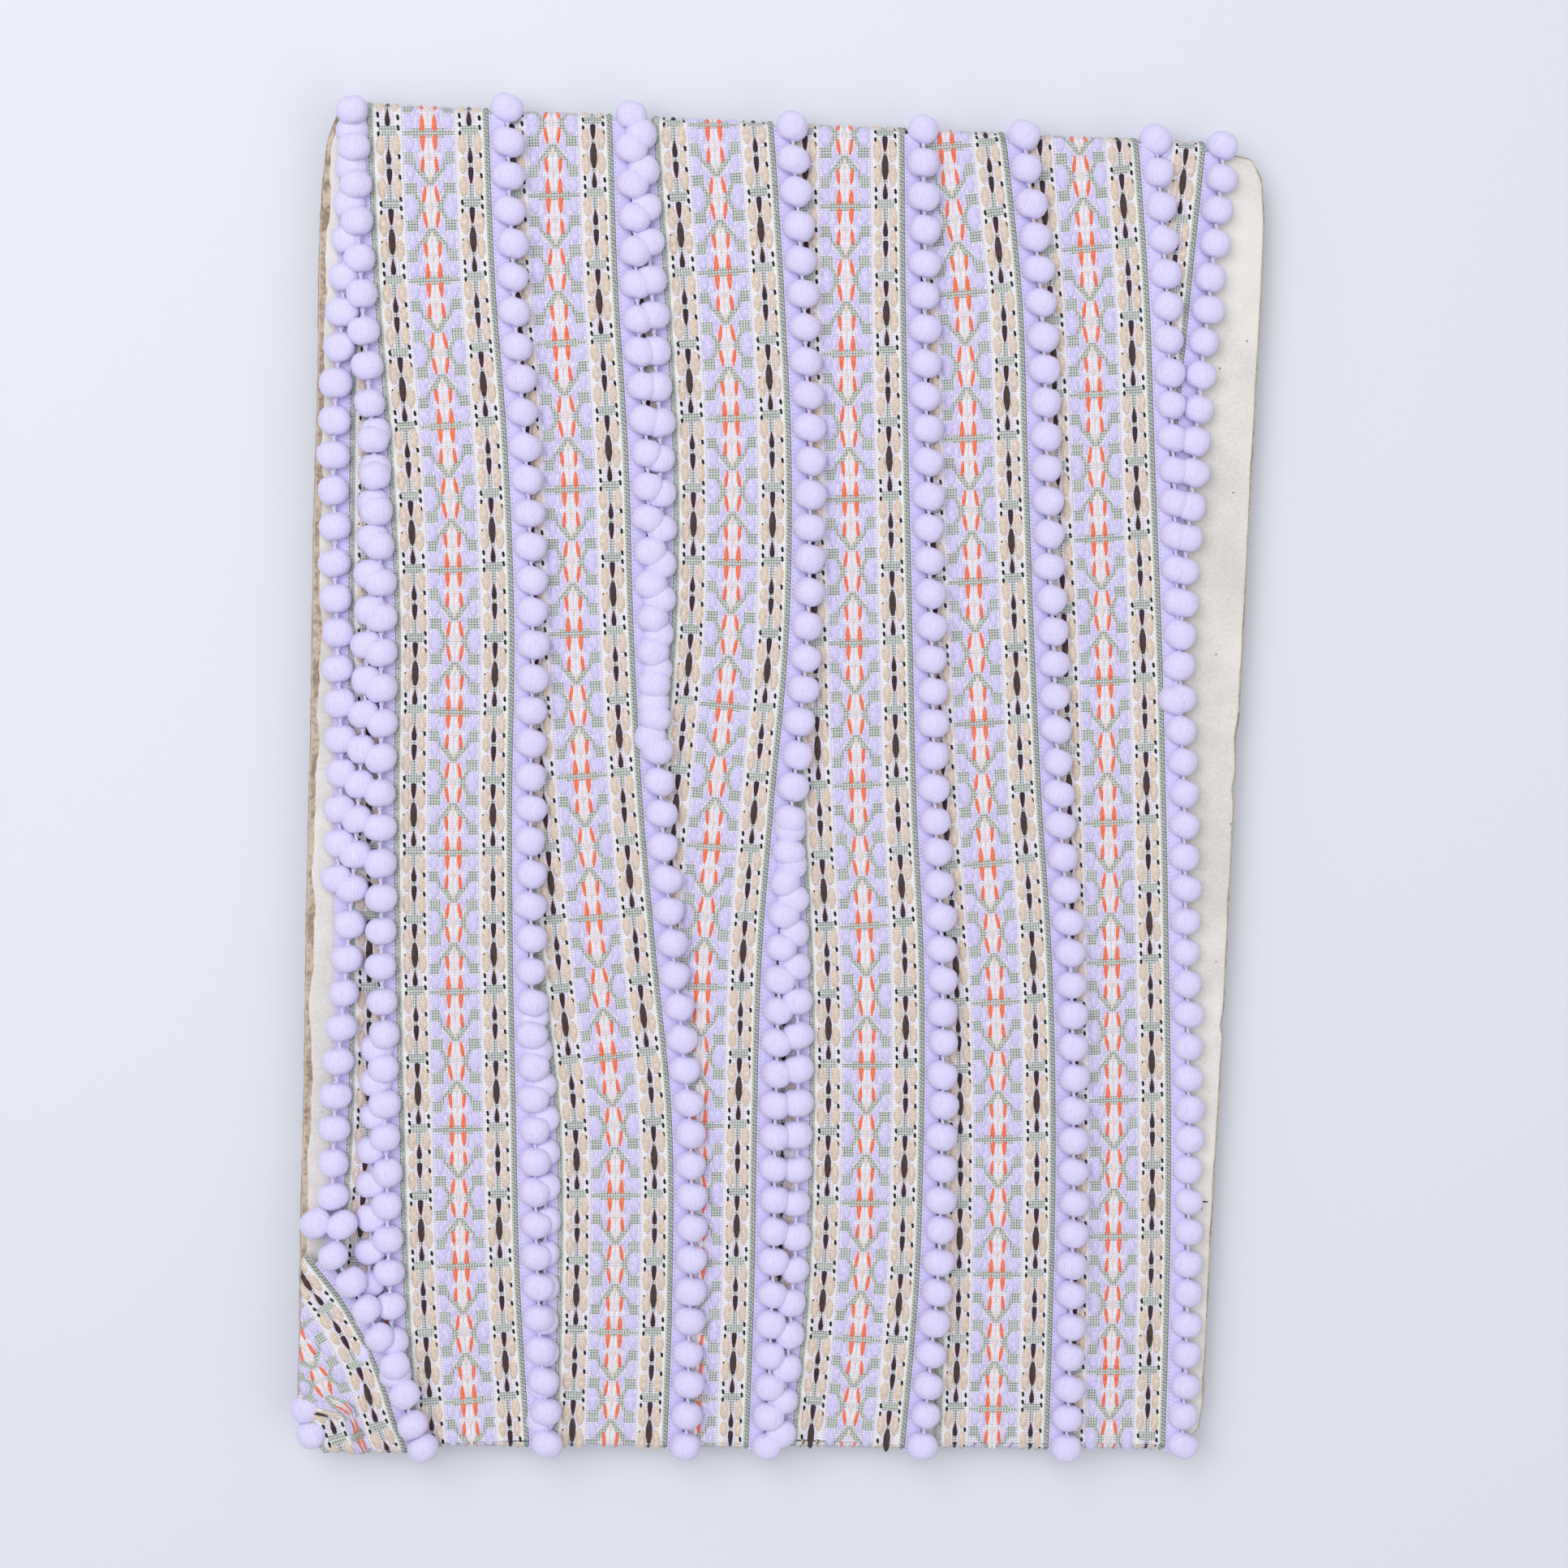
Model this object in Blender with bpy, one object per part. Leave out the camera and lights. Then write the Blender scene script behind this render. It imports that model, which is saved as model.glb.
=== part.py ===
"""A woven ribbon with pompom tapes on both edges, wound in flat runs round a stiff card.

The part lies on its back: X to the right, Y up along the card, Z towards the viewer, and the
surface it lies on at Z = 0. Lengths below are in millimetres and become metres where a mesh
is made.
"""

import math

import bmesh
import bpy

MM = 0.001
GAP = 0.3  # clearance between pieces that touch

# Card
CARD_HALF_WIDTH = 105.5
CARD_HALF_LENGTH = 148.5
CARD_THICKNESS = 3.5
NOTCH_TOP = -103.0
NOTCH_BOTTOM = -139.0
NOTCH_DEPTH = 2.7

# Woven ribbon
BAND_HALF = 13.3  # half the woven width, selvedges included
CLOTH = 1.3  # the cloth with its raised floats
UNDERLAY = 0.9  # the hidden turns below, where a gap between runs shows them
LIFT = 1.6  # how far hidden pompoms raise a run's right edge
FOLD_REACH = 2.3  # how far the cloth bulges past the card's ends
STEP = 0.2  # width of the short slopes at a run's edges
FRONT_ROWS = 15
BACK_ROWS = 9
FOLD_ROWS = 3

# Pompom tapes
TAPE_WIDTH = 1.7
TAPE_THICKNESS = 1.2
POMPOM_PITCH = 7.67
LOWEST_POMPOM = -148.9  # the roots at the two folds, in y
HIGHEST_POMPOM = 150.3
TAPE_END = 1.4  # tape past the last root's middle
POMPOM_ROOT = 2.4
POMPOM_REACH = 5.6
POMPOM_LENGTH = 6.2
POMPOM_HEIGHT = 4.9
POMPOM_DROOP = 0.5  # how far it hangs lower at its middle, and again at its tip
POMPOM_MARGIN = 1.2  # how much further down it looks for the cloth that it rests on
# The rings of a pompom: reach, length, foot and height, as fractions of the sizes above.
POMPOM_RINGS = ((0.42, 1.0, 0.0, 1.0), (1.0, 0.55, 0.16, 0.62))
BACK_POMPOM_HEIGHT = 4.2  # flattened by the card's weight
BACK_POMPOM_REACH = 6.8
BACK_POMPOM_WAVE = 0.5
# The section of a row of pompoms behind the card: out and up, as fractions.
BACK_POMPOM_SECTION = (
    (0.1, 0.0), (0.8, 0.0), (1.0, 0.45), (0.75, 1.0), (0.15, 1.0), (0.0, 0.5)
)
PLAIN_STATIONS = 13  # cuts across a tape that has no pompoms of its own
MOST_POMPOMS = 300

# Levels above the surface that the part lies on
BACK_FACE = BACK_POMPOM_HEIGHT + GAP + CLOTH + GAP  # inner face of the winding, behind
CARD_BOTTOM = BACK_FACE + GAP
CARD_TOP = CARD_BOTTOM + CARD_THICKNESS
FRONT_FACE = CARD_TOP + GAP  # inner face of the winding, in front
END = CARD_HALF_LENGTH + GAP  # inner face of the winding, at the card's two ends

# Centre lines of the runs on the front, by name, at these heights up the card. Run 1 was wound
# last and lies on run 2, run 2 on run 3, and so on. The under run shows at the left alone.
RUN_HEIGHTS = (-148.8, -75.0, 0.0, 75.0, 148.8)
FRONT_RUNS = {
    "under": (-85.7, -82.0, -83.2, -84.5, -84.5),
    "1": (-65.5, -70.4, -73.2, -76.1, -82.2),
    "2": (-33.8, -35.1, -44.2, -49.5, -55.3),
    "3": (-15.0, -15.7, -14.5, -13.2, -19.9),
    "4": (21.3, 22.7, 17.9, 13.1, 9.1),
    "5": (55.1, 53.3, 46.6, 40.1, 31.6),
    "6": (82.7, 80.3, 75.3, 69.1, 61.5),
    "7": (70.0, 70.0, 71.0, 73.2, 77.0),
}
NAMES = tuple(FRONT_RUNS)
UPPER_RUNS = NAMES[1:]

# The loose end: y, left x, right x and how high it stands off the runs below.
TAIL_ROWS = (
    (-152.7, -97.9, -80.6, -3.8),
    (-152.0, -97.9, -80.6, -1.1),
    (-149.4, -98.2, -80.8, 0.1),
    (-145.0, -99.6, -82.0, 0.7),
    (-141.0, -101.2, -83.2, 1.3),
    (-135.4, -104.4, -85.0, 1.6),
    (-127.3, -104.4, -88.3, 1.9),
    (-120.5, -104.4, -92.2, 1.6),
    (-113.5, -104.4, -96.6, 1.0),
    (-108.0, -104.4, -101.2, 0.4),
)
TAIL_COLUMNS = (0.0, 0.09, 0.25, 0.4, 0.52, 0.64, 0.8, 1.0)  # fractions of the width
TAIL_PLEAT = 0.52  # the fraction of the width where the pucker stands
TAIL_PLEAT_HEIGHT = 1.7
TAIL_PLEAT_WIDTH = 0.14
TAIL_PLEAT_TOP = -127.0
TAIL_PLEAT_RISE = 8.0  # the length over which the pucker grows to its full height
TAIL_SWELL = 0.5
TAIL_TUCK = 3.4  # how far the left edge goes down into the notch
TAIL_THICKNESS = 1.2
TAIL_TAPE_WIDTH = 1.2
TAIL_POMPOMS = 7
TAIL_POMPOM_LEAN = 0.35  # how far a pompom rises along Y for each millimetre that it reaches
# The rings of the loose end's pompoms: reach, half length, foot and height.
TAIL_POMPOM_RINGS = ((2.6, 2.5, 0.0, 4.4), (5.4, 1.3, 0.8, 3.0))

COLOURS = {
    "card": (0.76, 0.72, 0.67),
    "ribbon": (0.72, 0.66, 0.62),
    "tail": (0.70, 0.64, 0.62),
    "pompom": (0.70, 0.66, 0.90),
}


def smooth(values, y):
    """The value at y of a smooth curve through values, given at RUN_HEIGHTS."""
    last = len(RUN_HEIGHTS) - 1
    i = 0
    while i < last - 1 and y > RUN_HEIGHTS[i + 1]:
        i += 1
    before, after = max(i - 1, 0), min(i + 2, last)
    span = RUN_HEIGHTS[i + 1] - RUN_HEIGHTS[i]
    t = min(max((y - RUN_HEIGHTS[i]) / span, 0.0), 1.0)
    start = span * (values[i + 1] - values[before]) / (RUN_HEIGHTS[i + 1] - RUN_HEIGHTS[before])
    end = span * (values[after] - values[i]) / (RUN_HEIGHTS[after] - RUN_HEIGHTS[i])
    t2, t3 = t * t, t * t * t
    return (
        (2 * t3 - 3 * t2 + 1) * values[i]
        + (t3 - 2 * t2 + t) * start
        + (3 * t2 - 2 * t3) * values[i + 1]
        + (t3 - t2) * end
    )


def blend(a, b, t):
    """The value a fraction t of the way from a to b."""
    return a + (b - a) * t


def spread(first, last, count):
    """count values from first to last, evenly spaced."""
    return [blend(first, last, i / (count - 1)) for i in range(count)]


def band_points(left, right, low, high):
    """The left edge, middle and right edge of one run as (x, height)."""
    raised = blend(low, high, min(1.0, (right - left) / BAND_HALF))
    return [(left, low), ((left + right) / 2, blend(low, raised, 0.4)), (right, raised)]


def joined_bands(bands, grounds):
    """The profile across several runs: each run's points after the foot of the last one's edge."""
    profile = band_points(*bands[0])
    for band, ground in zip(bands[1:], grounds):
        profile += [(profile[-1][0] + STEP, ground), (band[0] - STEP, ground)]
        profile += band_points(*band)
    return profile


def shingled(centres):
    """Left and right edges of runs where each lies on the next, from their centres."""
    edges, left_limit = [], -math.inf
    for centre in centres:
        left = max(centre - BAND_HALF, left_limit)
        right = max(centre + BAND_HALF, left + 2 * STEP)
        edges.append((left, right))
        left_limit = right + 3 * STEP
    return edges


def front_profile(y):
    """(x, height off the card) of each column of the winding's front at y."""
    centres = [smooth(FRONT_RUNS[name], y) for name in NAMES]
    edges = shingled(centres[1:])
    under = (centres[0] - BAND_HALF, edges[0][0] - 3 * STEP)
    bands = [(*under, CLOTH, CLOTH)]
    bands.append((*edges[0], 2 * CLOTH, 2 * CLOTH + LIFT / 2))
    bands += [(*edge, CLOTH, CLOTH + LIFT) for edge in edges[1:]]
    return joined_bands(bands, [CLOTH] + [UNDERLAY] * (len(bands) - 2))


def back_profile(y):
    """(x, height off the card) of each column of the winding's back at y.

    Behind the card each run goes from the top of one front run to the bottom of the run
    before it, so that the winding is one long helix.
    """
    t = (y + END) / (2 * END)
    centres = []
    for before, name in zip(NAMES, UPPER_RUNS):
        centres.append(blend(FRONT_RUNS[before][0], FRONT_RUNS[name][-1], t))
    edges = shingled(centres)
    last_left = edges[-1][1] + 3 * STEP
    bottom_right = front_profile(-END)[-1][0]
    edges.append((last_left, max(last_left + 2 * STEP, blend(bottom_right, last_left, t))))
    bands = [(*edge, CLOTH, CLOTH + LIFT) for edge in edges]
    return joined_bands(bands, [UNDERLAY] * (len(bands) - 1))


FRONT_YS = spread(-END, END, FRONT_ROWS)
BACK_YS = spread(END, -END, BACK_ROWS)
FRONT_GRID = [front_profile(y) for y in FRONT_YS]
BACK_GRID = [back_profile(y) for y in BACK_YS]


def profile_between(ys, grid, y):
    """The profile at y along straight lines between the rows of grid."""
    step = (ys[-1] - ys[0]) / (len(ys) - 1)
    place = min(max((y - ys[0]) / step, 0.0), len(ys) - 1)
    i = min(int(place), len(ys) - 2)
    t = place - i
    return [(blend(a[0], b[0], t), blend(a[1], b[1], t)) for a, b in zip(grid[i], grid[i + 1])]


def height_at(profile, x):
    """The winding's height off the card at x, or 0 where the card is bare."""
    for (x0, h0), (x1, h1) in zip(profile, profile[1:]):
        if x0 <= x <= x1:
            return blend(h0, h1, (x - x0) / max(x1 - x0, 1e-9))
    return 0.0


def highest(ys, grid, x_range, y_range):
    """The greatest height off the card over a small rectangle."""
    found = 0.0
    for y in spread(*y_range, 4):
        profile = profile_between(ys, grid, y)
        found = max(found, *(height_at(profile, x) for x in spread(*x_range, 9)))
    return found


def edge_column(name, side):
    """The column of the front's profile at one edge of a run."""
    number = NAMES.index(name)
    left = 0 if number == 0 else 5 * number
    return left if side < 0 else left + 2


class Solid:
    """Gathers points and faces, and joins the points that fall on one place."""

    def __init__(self):
        self.points = []
        self.faces = []
        self.known = {}

    def point(self, place):
        """The number of the point at place, in millimetres."""
        key = tuple(round(value, 5) for value in place)
        if key not in self.known:
            self.known[key] = len(self.points)
            self.points.append(place)
        return self.known[key]

    def face(self, *places):
        """Adds a face through places, which run anticlockwise seen from outside."""
        numbers = []
        for place in places:
            number = self.point(place)
            if number not in numbers:
                numbers.append(number)
        if len(numbers) > 2:
            self.faces.append(numbers)

    def grid(self, rows):
        """Adds the quads between rows of places, each row as long as the next."""
        for lower, upper in zip(rows, rows[1:]):
            for i in range(len(lower) - 1):
                self.face(lower[i], lower[i + 1], upper[i + 1], upper[i])

    def loft(self, rings):
        """Adds a tube through rings of places, with both ends closed."""
        for first, second in zip(rings, rings[1:]):
            self.grid([first + first[:1], second + second[:1]])
        self.face(*reversed(rings[0]))
        self.face(*rings[-1])

    def make(self, name, material):
        """Makes the named object from what was gathered, with its faces turned outwards."""
        mesh = bpy.data.meshes.new(name)
        metres = [[value * MM for value in place] for place in self.points]
        mesh.from_pydata(metres, [], self.faces)
        mesh.update()
        work = bmesh.new()
        work.from_mesh(mesh)
        bmesh.ops.recalc_face_normals(work, faces=work.faces)
        work.to_mesh(mesh)
        work.free()
        mesh.materials.append(material)
        made = bpy.data.objects.new(name, mesh)
        bpy.context.scene.collection.objects.link(made)
        return made


def new_material(name, roughness):
    """A plain material of the named colour."""
    material = bpy.data.materials.new(name)
    material.use_nodes = True
    shader = material.node_tree.nodes["Principled BSDF"]
    shader.inputs["Base Color"].default_value = (*COLOURS[name], 1.0)
    shader.inputs["Roughness"].default_value = roughness
    shader.inputs["Metallic"].default_value = 0.0
    return material


def build_card(material):
    """The stiff card, with a bent corner, a clipped corner and the notch for the ribbon's end."""
    w, h = CARD_HALF_WIDTH, CARD_HALF_LENGTH
    outline = [
        (-w + 3.6, h),
        (-w + 1.7, h - 5.5),
        (-w + 0.6, h - 13.0),
        (-w + 0.1, h - 32.0),
        (-w, NOTCH_TOP),
        (-w + NOTCH_DEPTH, NOTCH_TOP - 1.2),
        (-w + NOTCH_DEPTH, NOTCH_BOTTOM + 1.2),
        (-w, NOTCH_BOTTOM),
        (-w + 0.7, -h + 2.0),
        (-w + 2.8, -h),
        (w - 3.0, -h),
        (w - 0.9, -h + 2.2),
        (w, -h + 9.0),
        (w - 0.1, h - 20.0),
        (w - 0.3, h - 11.0),
        (w - 1.2, h - 4.0),
        (w - 3.9, h - 0.7),
        (w - 8.0, h),
    ]
    body = Solid()
    lower = [(x, y, CARD_BOTTOM) for x, y in outline]
    upper = [(x, y, CARD_TOP) for x, y in outline]
    body.loft([lower, upper])
    return body.make("card", material)


def fold_rows(front, back, end):
    """The rows of the winding round one end of the card, from its front to its back.

    Args:
        front: the profile where the front meets the fold
        back: the profile where the back meets it
        end: the inner face's place, END at the top and -END at the bottom
    """
    middle, half = (FRONT_FACE + BACK_FACE) / 2, (FRONT_FACE - BACK_FACE) / 2
    rows = []
    for i in range(FOLD_ROWS + 2):
        t = i / (FOLD_ROWS + 1)
        angle = math.pi * (0.5 - t)
        reach = FOLD_REACH * max(math.cos(angle), 0.0) ** 0.7
        row = []
        for (x0, h0), (x1, h1) in zip(front, back):
            height = blend(h0, h1, t)
            z = middle + (half + height) * math.sin(angle)
            row.append((blend(x0, x1, t), end + math.copysign(reach, end), z))
        rows.append(row)
    return rows


def inner_place(place):
    """The point of the winding's inner face that lies under an outer point of its rims."""
    x, y, z = place
    if abs(y) > END - 1e-6:
        z = min(max(z, BACK_FACE), FRONT_FACE)
        return (x, math.copysign(END, y), z)
    return (x, y, FRONT_FACE if z > CARD_TOP else BACK_FACE)


def build_winding(material):
    """The wound ribbon as one solid: its stepped runs outside and a flat slot for the card."""
    front = [
        [(x, y, FRONT_FACE + h) for x, h in row] for y, row in zip(FRONT_YS, FRONT_GRID)
    ]
    back = [[(x, y, BACK_FACE - h) for x, h in row] for y, row in zip(BACK_YS, BACK_GRID)]
    first = edge_column("1", -1)
    shared = len(front[0]) - first
    top = fold_rows(FRONT_GRID[-1][first:], BACK_GRID[0][:shared], END)
    bottom = fold_rows(FRONT_GRID[0], BACK_GRID[-1], -END)
    body = Solid()
    body.grid(front)
    body.grid(back)
    body.grid(top)
    body.grid(bottom[::-1])

    def rim(column, top_column, before, after):
        """One rim's four stretches: front, top fold, back and bottom fold."""
        up = [row[column] for row in front] + before
        over = [row[top_column] for row in top]
        down = after + [row[column] for row in back]
        return [up, over, down, [row[column] for row in bottom[::-1]]]

    left = rim(0, 0, front[-1][1 : first + 1], [])
    right = rim(-1, -1, [], back[0][shared - 1 : -1])
    for stretches, side in ((left, -1), (right, 1)):
        for stretch in stretches:
            inner = [inner_place(place) for place in stretch]
            pair = [stretch, inner] if side > 0 else [inner, stretch]
            body.grid(pair)
    for one, other in zip(left, right):
        one_inner = [inner_place(place) for place in one]
        other_inner = [inner_place(place) for place in other]
        body.face(*one_inner, *reversed(other_inner))
    return body.make("ribbon_winding", material)


def build_tail(material):
    """The loose end, a sheet from the bottom fold to the notch, with a soft pucker."""
    body = Solid()
    rows = []
    for y, left, right, stand in TAIL_ROWS:
        row = []
        for t in TAIL_COLUMNS:
            x = blend(left, right, t)
            swell = math.sin(math.pi * t) * TAIL_SWELL
            near = max(0.0, 1.0 - abs(t - TAIL_PLEAT) / TAIL_PLEAT_WIDTH)
            grown = min(max((TAIL_PLEAT_TOP - y) / TAIL_PLEAT_RISE, 0.0), 1.0)
            pleat = near * grown * TAIL_PLEAT_HEIGHT
            tucked = t == 0.0 and NOTCH_BOTTOM < y < NOTCH_TOP
            z = FRONT_FACE + CLOTH + TAIL_THICKNESS + GAP + stand + swell + pleat
            if tucked:
                z -= TAIL_TUCK + stand
            row.append((x, y, z))
        rows.append(row)
    body.grid(rows)
    made = body.make("ribbon_tail", material)
    if made.data.polygons[0].normal.z < 0:
        made.data.flip_normals()
    thick = made.modifiers.new("Cloth", "SOLIDIFY")
    thick.thickness = TAIL_THICKNESS * MM
    thick.offset = -1.0
    return made


def pompom_places(lowest, highest_root):
    """The y of each root from the highest down to the lowest, in rising order."""
    count = int((highest_root - lowest) / POMPOM_PITCH + 1.001)
    return [highest_root - i * POMPOM_PITCH for i in reversed(range(count))]


def tape_stations(centres):
    """Where the tape is cut across: before and after each pompom's root, and at its ends."""
    stations = [centres[0] - TAPE_END]
    for y in centres:
        stations += [y - POMPOM_ROOT / 2, y + POMPOM_ROOT / 2]
    return stations + [centres[-1] + TAPE_END]


def pompom_rings(edge, y, side, low, floor):
    """The rings of a four-sided pompom past its root, from the neck to the tip.

    Args:
        edge: the tape's outer edge, in x
        y: the root's middle
        side: 1 for a pompom that points to +X, -1 for one that points to -X
        low: the tape's lower face
        floor: the level that the pompom rests on
    """
    rings = []
    for reach, length, foot, height in POMPOM_RINGS:
        z = floor + foot * POMPOM_HEIGHT
        top = max(z + height * POMPOM_HEIGHT, low + TAPE_THICKNESS)
        x = edge + side * reach * POMPOM_REACH
        middle = y - POMPOM_DROOP * (1 + reach)
        rings.append(upright(x, middle, length * POMPOM_LENGTH / 2, z, top))
    return rings


def upright(x, y, half, z, top):
    """The corners of an upright rectangle across X, half its length each way along Y."""
    return [(x, y - half, z), (x, y + half, z), (x, y + half, top), (x, y - half, top)]


def tape_run(name, column, side, start, stop, material, least=0.0, pompoms=True):
    """A tape along one edge of a front run, with its pompoms where they are asked for.

    Args:
        name: the object's name
        column: the column of the front's profile that the tape is sewn to
        side: 1 where the tape lies to the right of that edge, -1 to the left
        start: its lowest pompom, or its lower end where it has none
        stop: its highest pompom, or its upper end
        material: its material
        least: the least height off the card that its pompoms rest at
        pompoms: whether it carries pompoms
    """
    centres = pompom_places(start, stop) if pompoms else []
    stations = tape_stations(centres) if pompoms else spread(start, stop, PLAIN_STATIONS)
    body = Solid()
    lines = []
    for y in stations:
        profile = profile_between(FRONT_YS, FRONT_GRID, y)
        inner = profile[column][0] + side * GAP
        outer = inner + side * TAPE_WIDTH
        near = (y - POMPOM_PITCH / 2, y + POMPOM_PITCH / 2)
        under = highest(FRONT_YS, FRONT_GRID, sorted((inner, outer)), near)
        low = FRONT_FACE + under + GAP if under else CARD_TOP + GAP
        high = low + TAPE_THICKNESS
        lines.append([(inner, y, low), (outer, y, low), (outer, y, high), (inner, y, high)])
    for i, (a, b) in enumerate(zip(lines, lines[1:])):
        rooted = pompoms and i % 2 == 1
        for j in range(4):
            k = (j + 1) % 4
            if j == 1 and rooted:
                continue
            body.face(a[j], a[k], b[k], b[j])
        if rooted:
            y = centres[i // 2]
            edge = (a[1][0] + b[1][0]) / 2
            reach = sorted((edge, edge + side * POMPOM_REACH))
            span = (y - POMPOM_PITCH / 2 - POMPOM_MARGIN, y + POMPOM_PITCH / 2)
            under = max(highest(FRONT_YS, FRONT_GRID, reach, span), least)
            floor = FRONT_FACE + under + GAP if under else CARD_TOP + GAP
            root = [a[1], b[1], b[2], a[2]]
            rings = [root] + pompom_rings(edge, y, side, a[1][2], floor)
            for one, two in zip(rings, rings[1:]):
                body.grid([one + one[:1], two + two[:1]])
            body.face(*rings[-1])
    body.face(*lines[0])
    body.face(*reversed(lines[-1]))
    body.make(name, material)
    return len(centres)


def back_tape(name, column, side, material):
    """A row of pompoms behind the card, as one soft strip that rests on the surface."""
    body = Solid()
    rings = []
    reach_end = END + FOLD_REACH / 2
    # Nothing but the card lies over the left row.
    room = BACK_POMPOM_HEIGHT if side > 0 else BACK_FACE
    for i, y in enumerate(spread(-reach_end, reach_end, PLAIN_STATIONS)):
        profile = profile_between(BACK_YS, BACK_GRID, y)
        reach = BACK_POMPOM_REACH + (BACK_POMPOM_WAVE if i % 2 else -BACK_POMPOM_WAVE)
        inner = profile[column][0] + side * (GAP + STEP if side > 0 else GAP)
        ring = []
        for out, up in BACK_POMPOM_SECTION:
            x = inner + side * out * reach
            x = min(max(x, -CARD_HALF_WIDTH), CARD_HALF_WIDTH)
            ring.append((x, y, up * (room - GAP)))
        rings.append(ring)
    body.loft(rings)
    return body.make(name, material)


def tail_pompoms(material):
    """The pompoms of the loose end's right edge, on a narrow tape beside it."""
    rows = TAIL_ROWS[2:-1]
    body = Solid()
    base = FRONT_FACE + CLOTH + GAP
    floor = FRONT_FACE + 2 * CLOTH + LIFT / 2 + GAP
    path = []
    for i in range(2 * TAIL_POMPOMS + 2):
        y = blend(rows[0][0], rows[-1][0], i / (2 * TAIL_POMPOMS + 1))
        for lower, upper in zip(rows, rows[1:]):
            if lower[0] <= y <= upper[0]:
                t = (y - lower[0]) / (upper[0] - lower[0])
                path.append((blend(lower[2], upper[2], t), y, blend(lower[3], upper[3], t)))
                break
    lines = []
    for x, y, stand in path:
        low = base + stand
        inner, outer = x + GAP, x + GAP + TAIL_TAPE_WIDTH
        high = low + TAIL_THICKNESS
        lines.append([(inner, y, low), (outer, y, low), (outer, y, high), (inner, y, high)])
    for i, (a, b) in enumerate(zip(lines, lines[1:])):
        rooted = i % 2 == 1
        for j in range(4):
            k = (j + 1) % 4
            if not (j == 1 and rooted):
                body.face(a[j], a[k], b[k], b[j])
        if rooted:
            rings = [[a[1], b[1], b[2], a[2]]]
            for reach, half, foot, height in TAIL_POMPOM_RINGS:
                x = (a[1][0] + b[1][0]) / 2 + reach
                y = (a[1][1] + b[1][1]) / 2 + reach * TAIL_POMPOM_LEAN
                z = floor + foot
                rings.append(upright(x, y, half, z, z + height))
            for one, two in zip(rings, rings[1:]):
                body.grid([one + one[:1], two + two[:1]])
            body.face(*rings[-1])
    body.face(*lines[0])
    body.face(*reversed(lines[-1]))
    body.make("tail_pompoms", material)
    return TAIL_POMPOMS


def build_trims(material):
    """Every pompom tape, front and back."""
    top, bottom = HIGHEST_POMPOM, LOWEST_POMPOM
    made = 0
    for name in ("1", "2", "3", "4", "5", "6"):
        least = UNDERLAY + 2 * GAP + TAPE_THICKNESS if name in ("2", "3") else 0.0
        column = edge_column(name, 1)
        made += tape_run(f"pompoms_{name}_right", column, 1, bottom, top, material, least)
    made += tape_run("pompoms_7_right", edge_column("7", 1), 1, 105.0, top, material)
    made += tape_run("pompoms_1_left", edge_column("1", -1), -1, -98.0, top, material)
    made += tape_run("pompoms_under_left", edge_column("under", -1), -1, -20.0, 84.0, material)
    tape_run("tape_3_left", edge_column("3", -1), -1, 24.0, END, material, pompoms=False)
    tape_run("tape_4_left", edge_column("4", -1), -1, -END, -12.0, material, pompoms=False)
    made += tail_pompoms(material)
    for number in range(len(UPPER_RUNS)):
        column = 2 if number == 0 else 5 * number + 2
        back_tape(f"back_pompoms_{number + 1}", column, 1, material)
    back_tape("back_pompoms_left", 0, -1, material)
    if made > MOST_POMPOMS:
        raise ValueError(f"{made} pompoms, more than {MOST_POMPOMS}")


def main():
    """Clears the scene and builds the part."""
    for old in list(bpy.data.objects):
        bpy.data.objects.remove(old, do_unlink=True)
    build_card(new_material("card", 0.85))
    build_winding(new_material("ribbon", 0.8))
    build_tail(new_material("tail", 0.8))
    build_trims(new_material("pompom", 0.95))


main()
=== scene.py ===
"""The looks of a woven ribbon with pompom edges, wound in flat runs round a stiff card.

Lengths are in millimetres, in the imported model's frame: X to the right, Y up along the card and
Z towards the viewer. They become metres where a mesh is made. Along the ribbon a place is given
by two numbers: how far it lies across from the centre line, and how far along the winding.
"""

import logging
import math
from collections.abc import Callable, Iterable, Sequence
from dataclasses import dataclass, field
from enum import Enum

import bpy
import numpy as np
from mathutils import Matrix, Vector


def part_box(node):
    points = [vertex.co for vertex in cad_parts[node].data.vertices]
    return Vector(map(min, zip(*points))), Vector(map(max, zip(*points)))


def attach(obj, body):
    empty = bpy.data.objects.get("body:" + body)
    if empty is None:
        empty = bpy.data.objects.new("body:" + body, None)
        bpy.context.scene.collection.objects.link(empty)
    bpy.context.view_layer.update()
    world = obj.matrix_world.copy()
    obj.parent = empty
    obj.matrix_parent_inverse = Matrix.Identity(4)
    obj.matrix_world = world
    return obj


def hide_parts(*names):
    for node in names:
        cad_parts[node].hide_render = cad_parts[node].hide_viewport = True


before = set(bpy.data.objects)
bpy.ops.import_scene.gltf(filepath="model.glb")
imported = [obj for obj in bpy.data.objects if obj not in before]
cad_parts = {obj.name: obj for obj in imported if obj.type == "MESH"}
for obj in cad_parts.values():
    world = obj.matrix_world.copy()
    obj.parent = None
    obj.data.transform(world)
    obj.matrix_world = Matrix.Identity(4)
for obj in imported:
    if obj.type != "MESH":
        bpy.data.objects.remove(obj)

Array = np.ndarray
Colour = tuple[float, float, float]
Surface = Callable[[Array, Array], Array]

LOG = logging.getLogger("ribbon")
MM = 0.001
BODY = "root"

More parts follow.
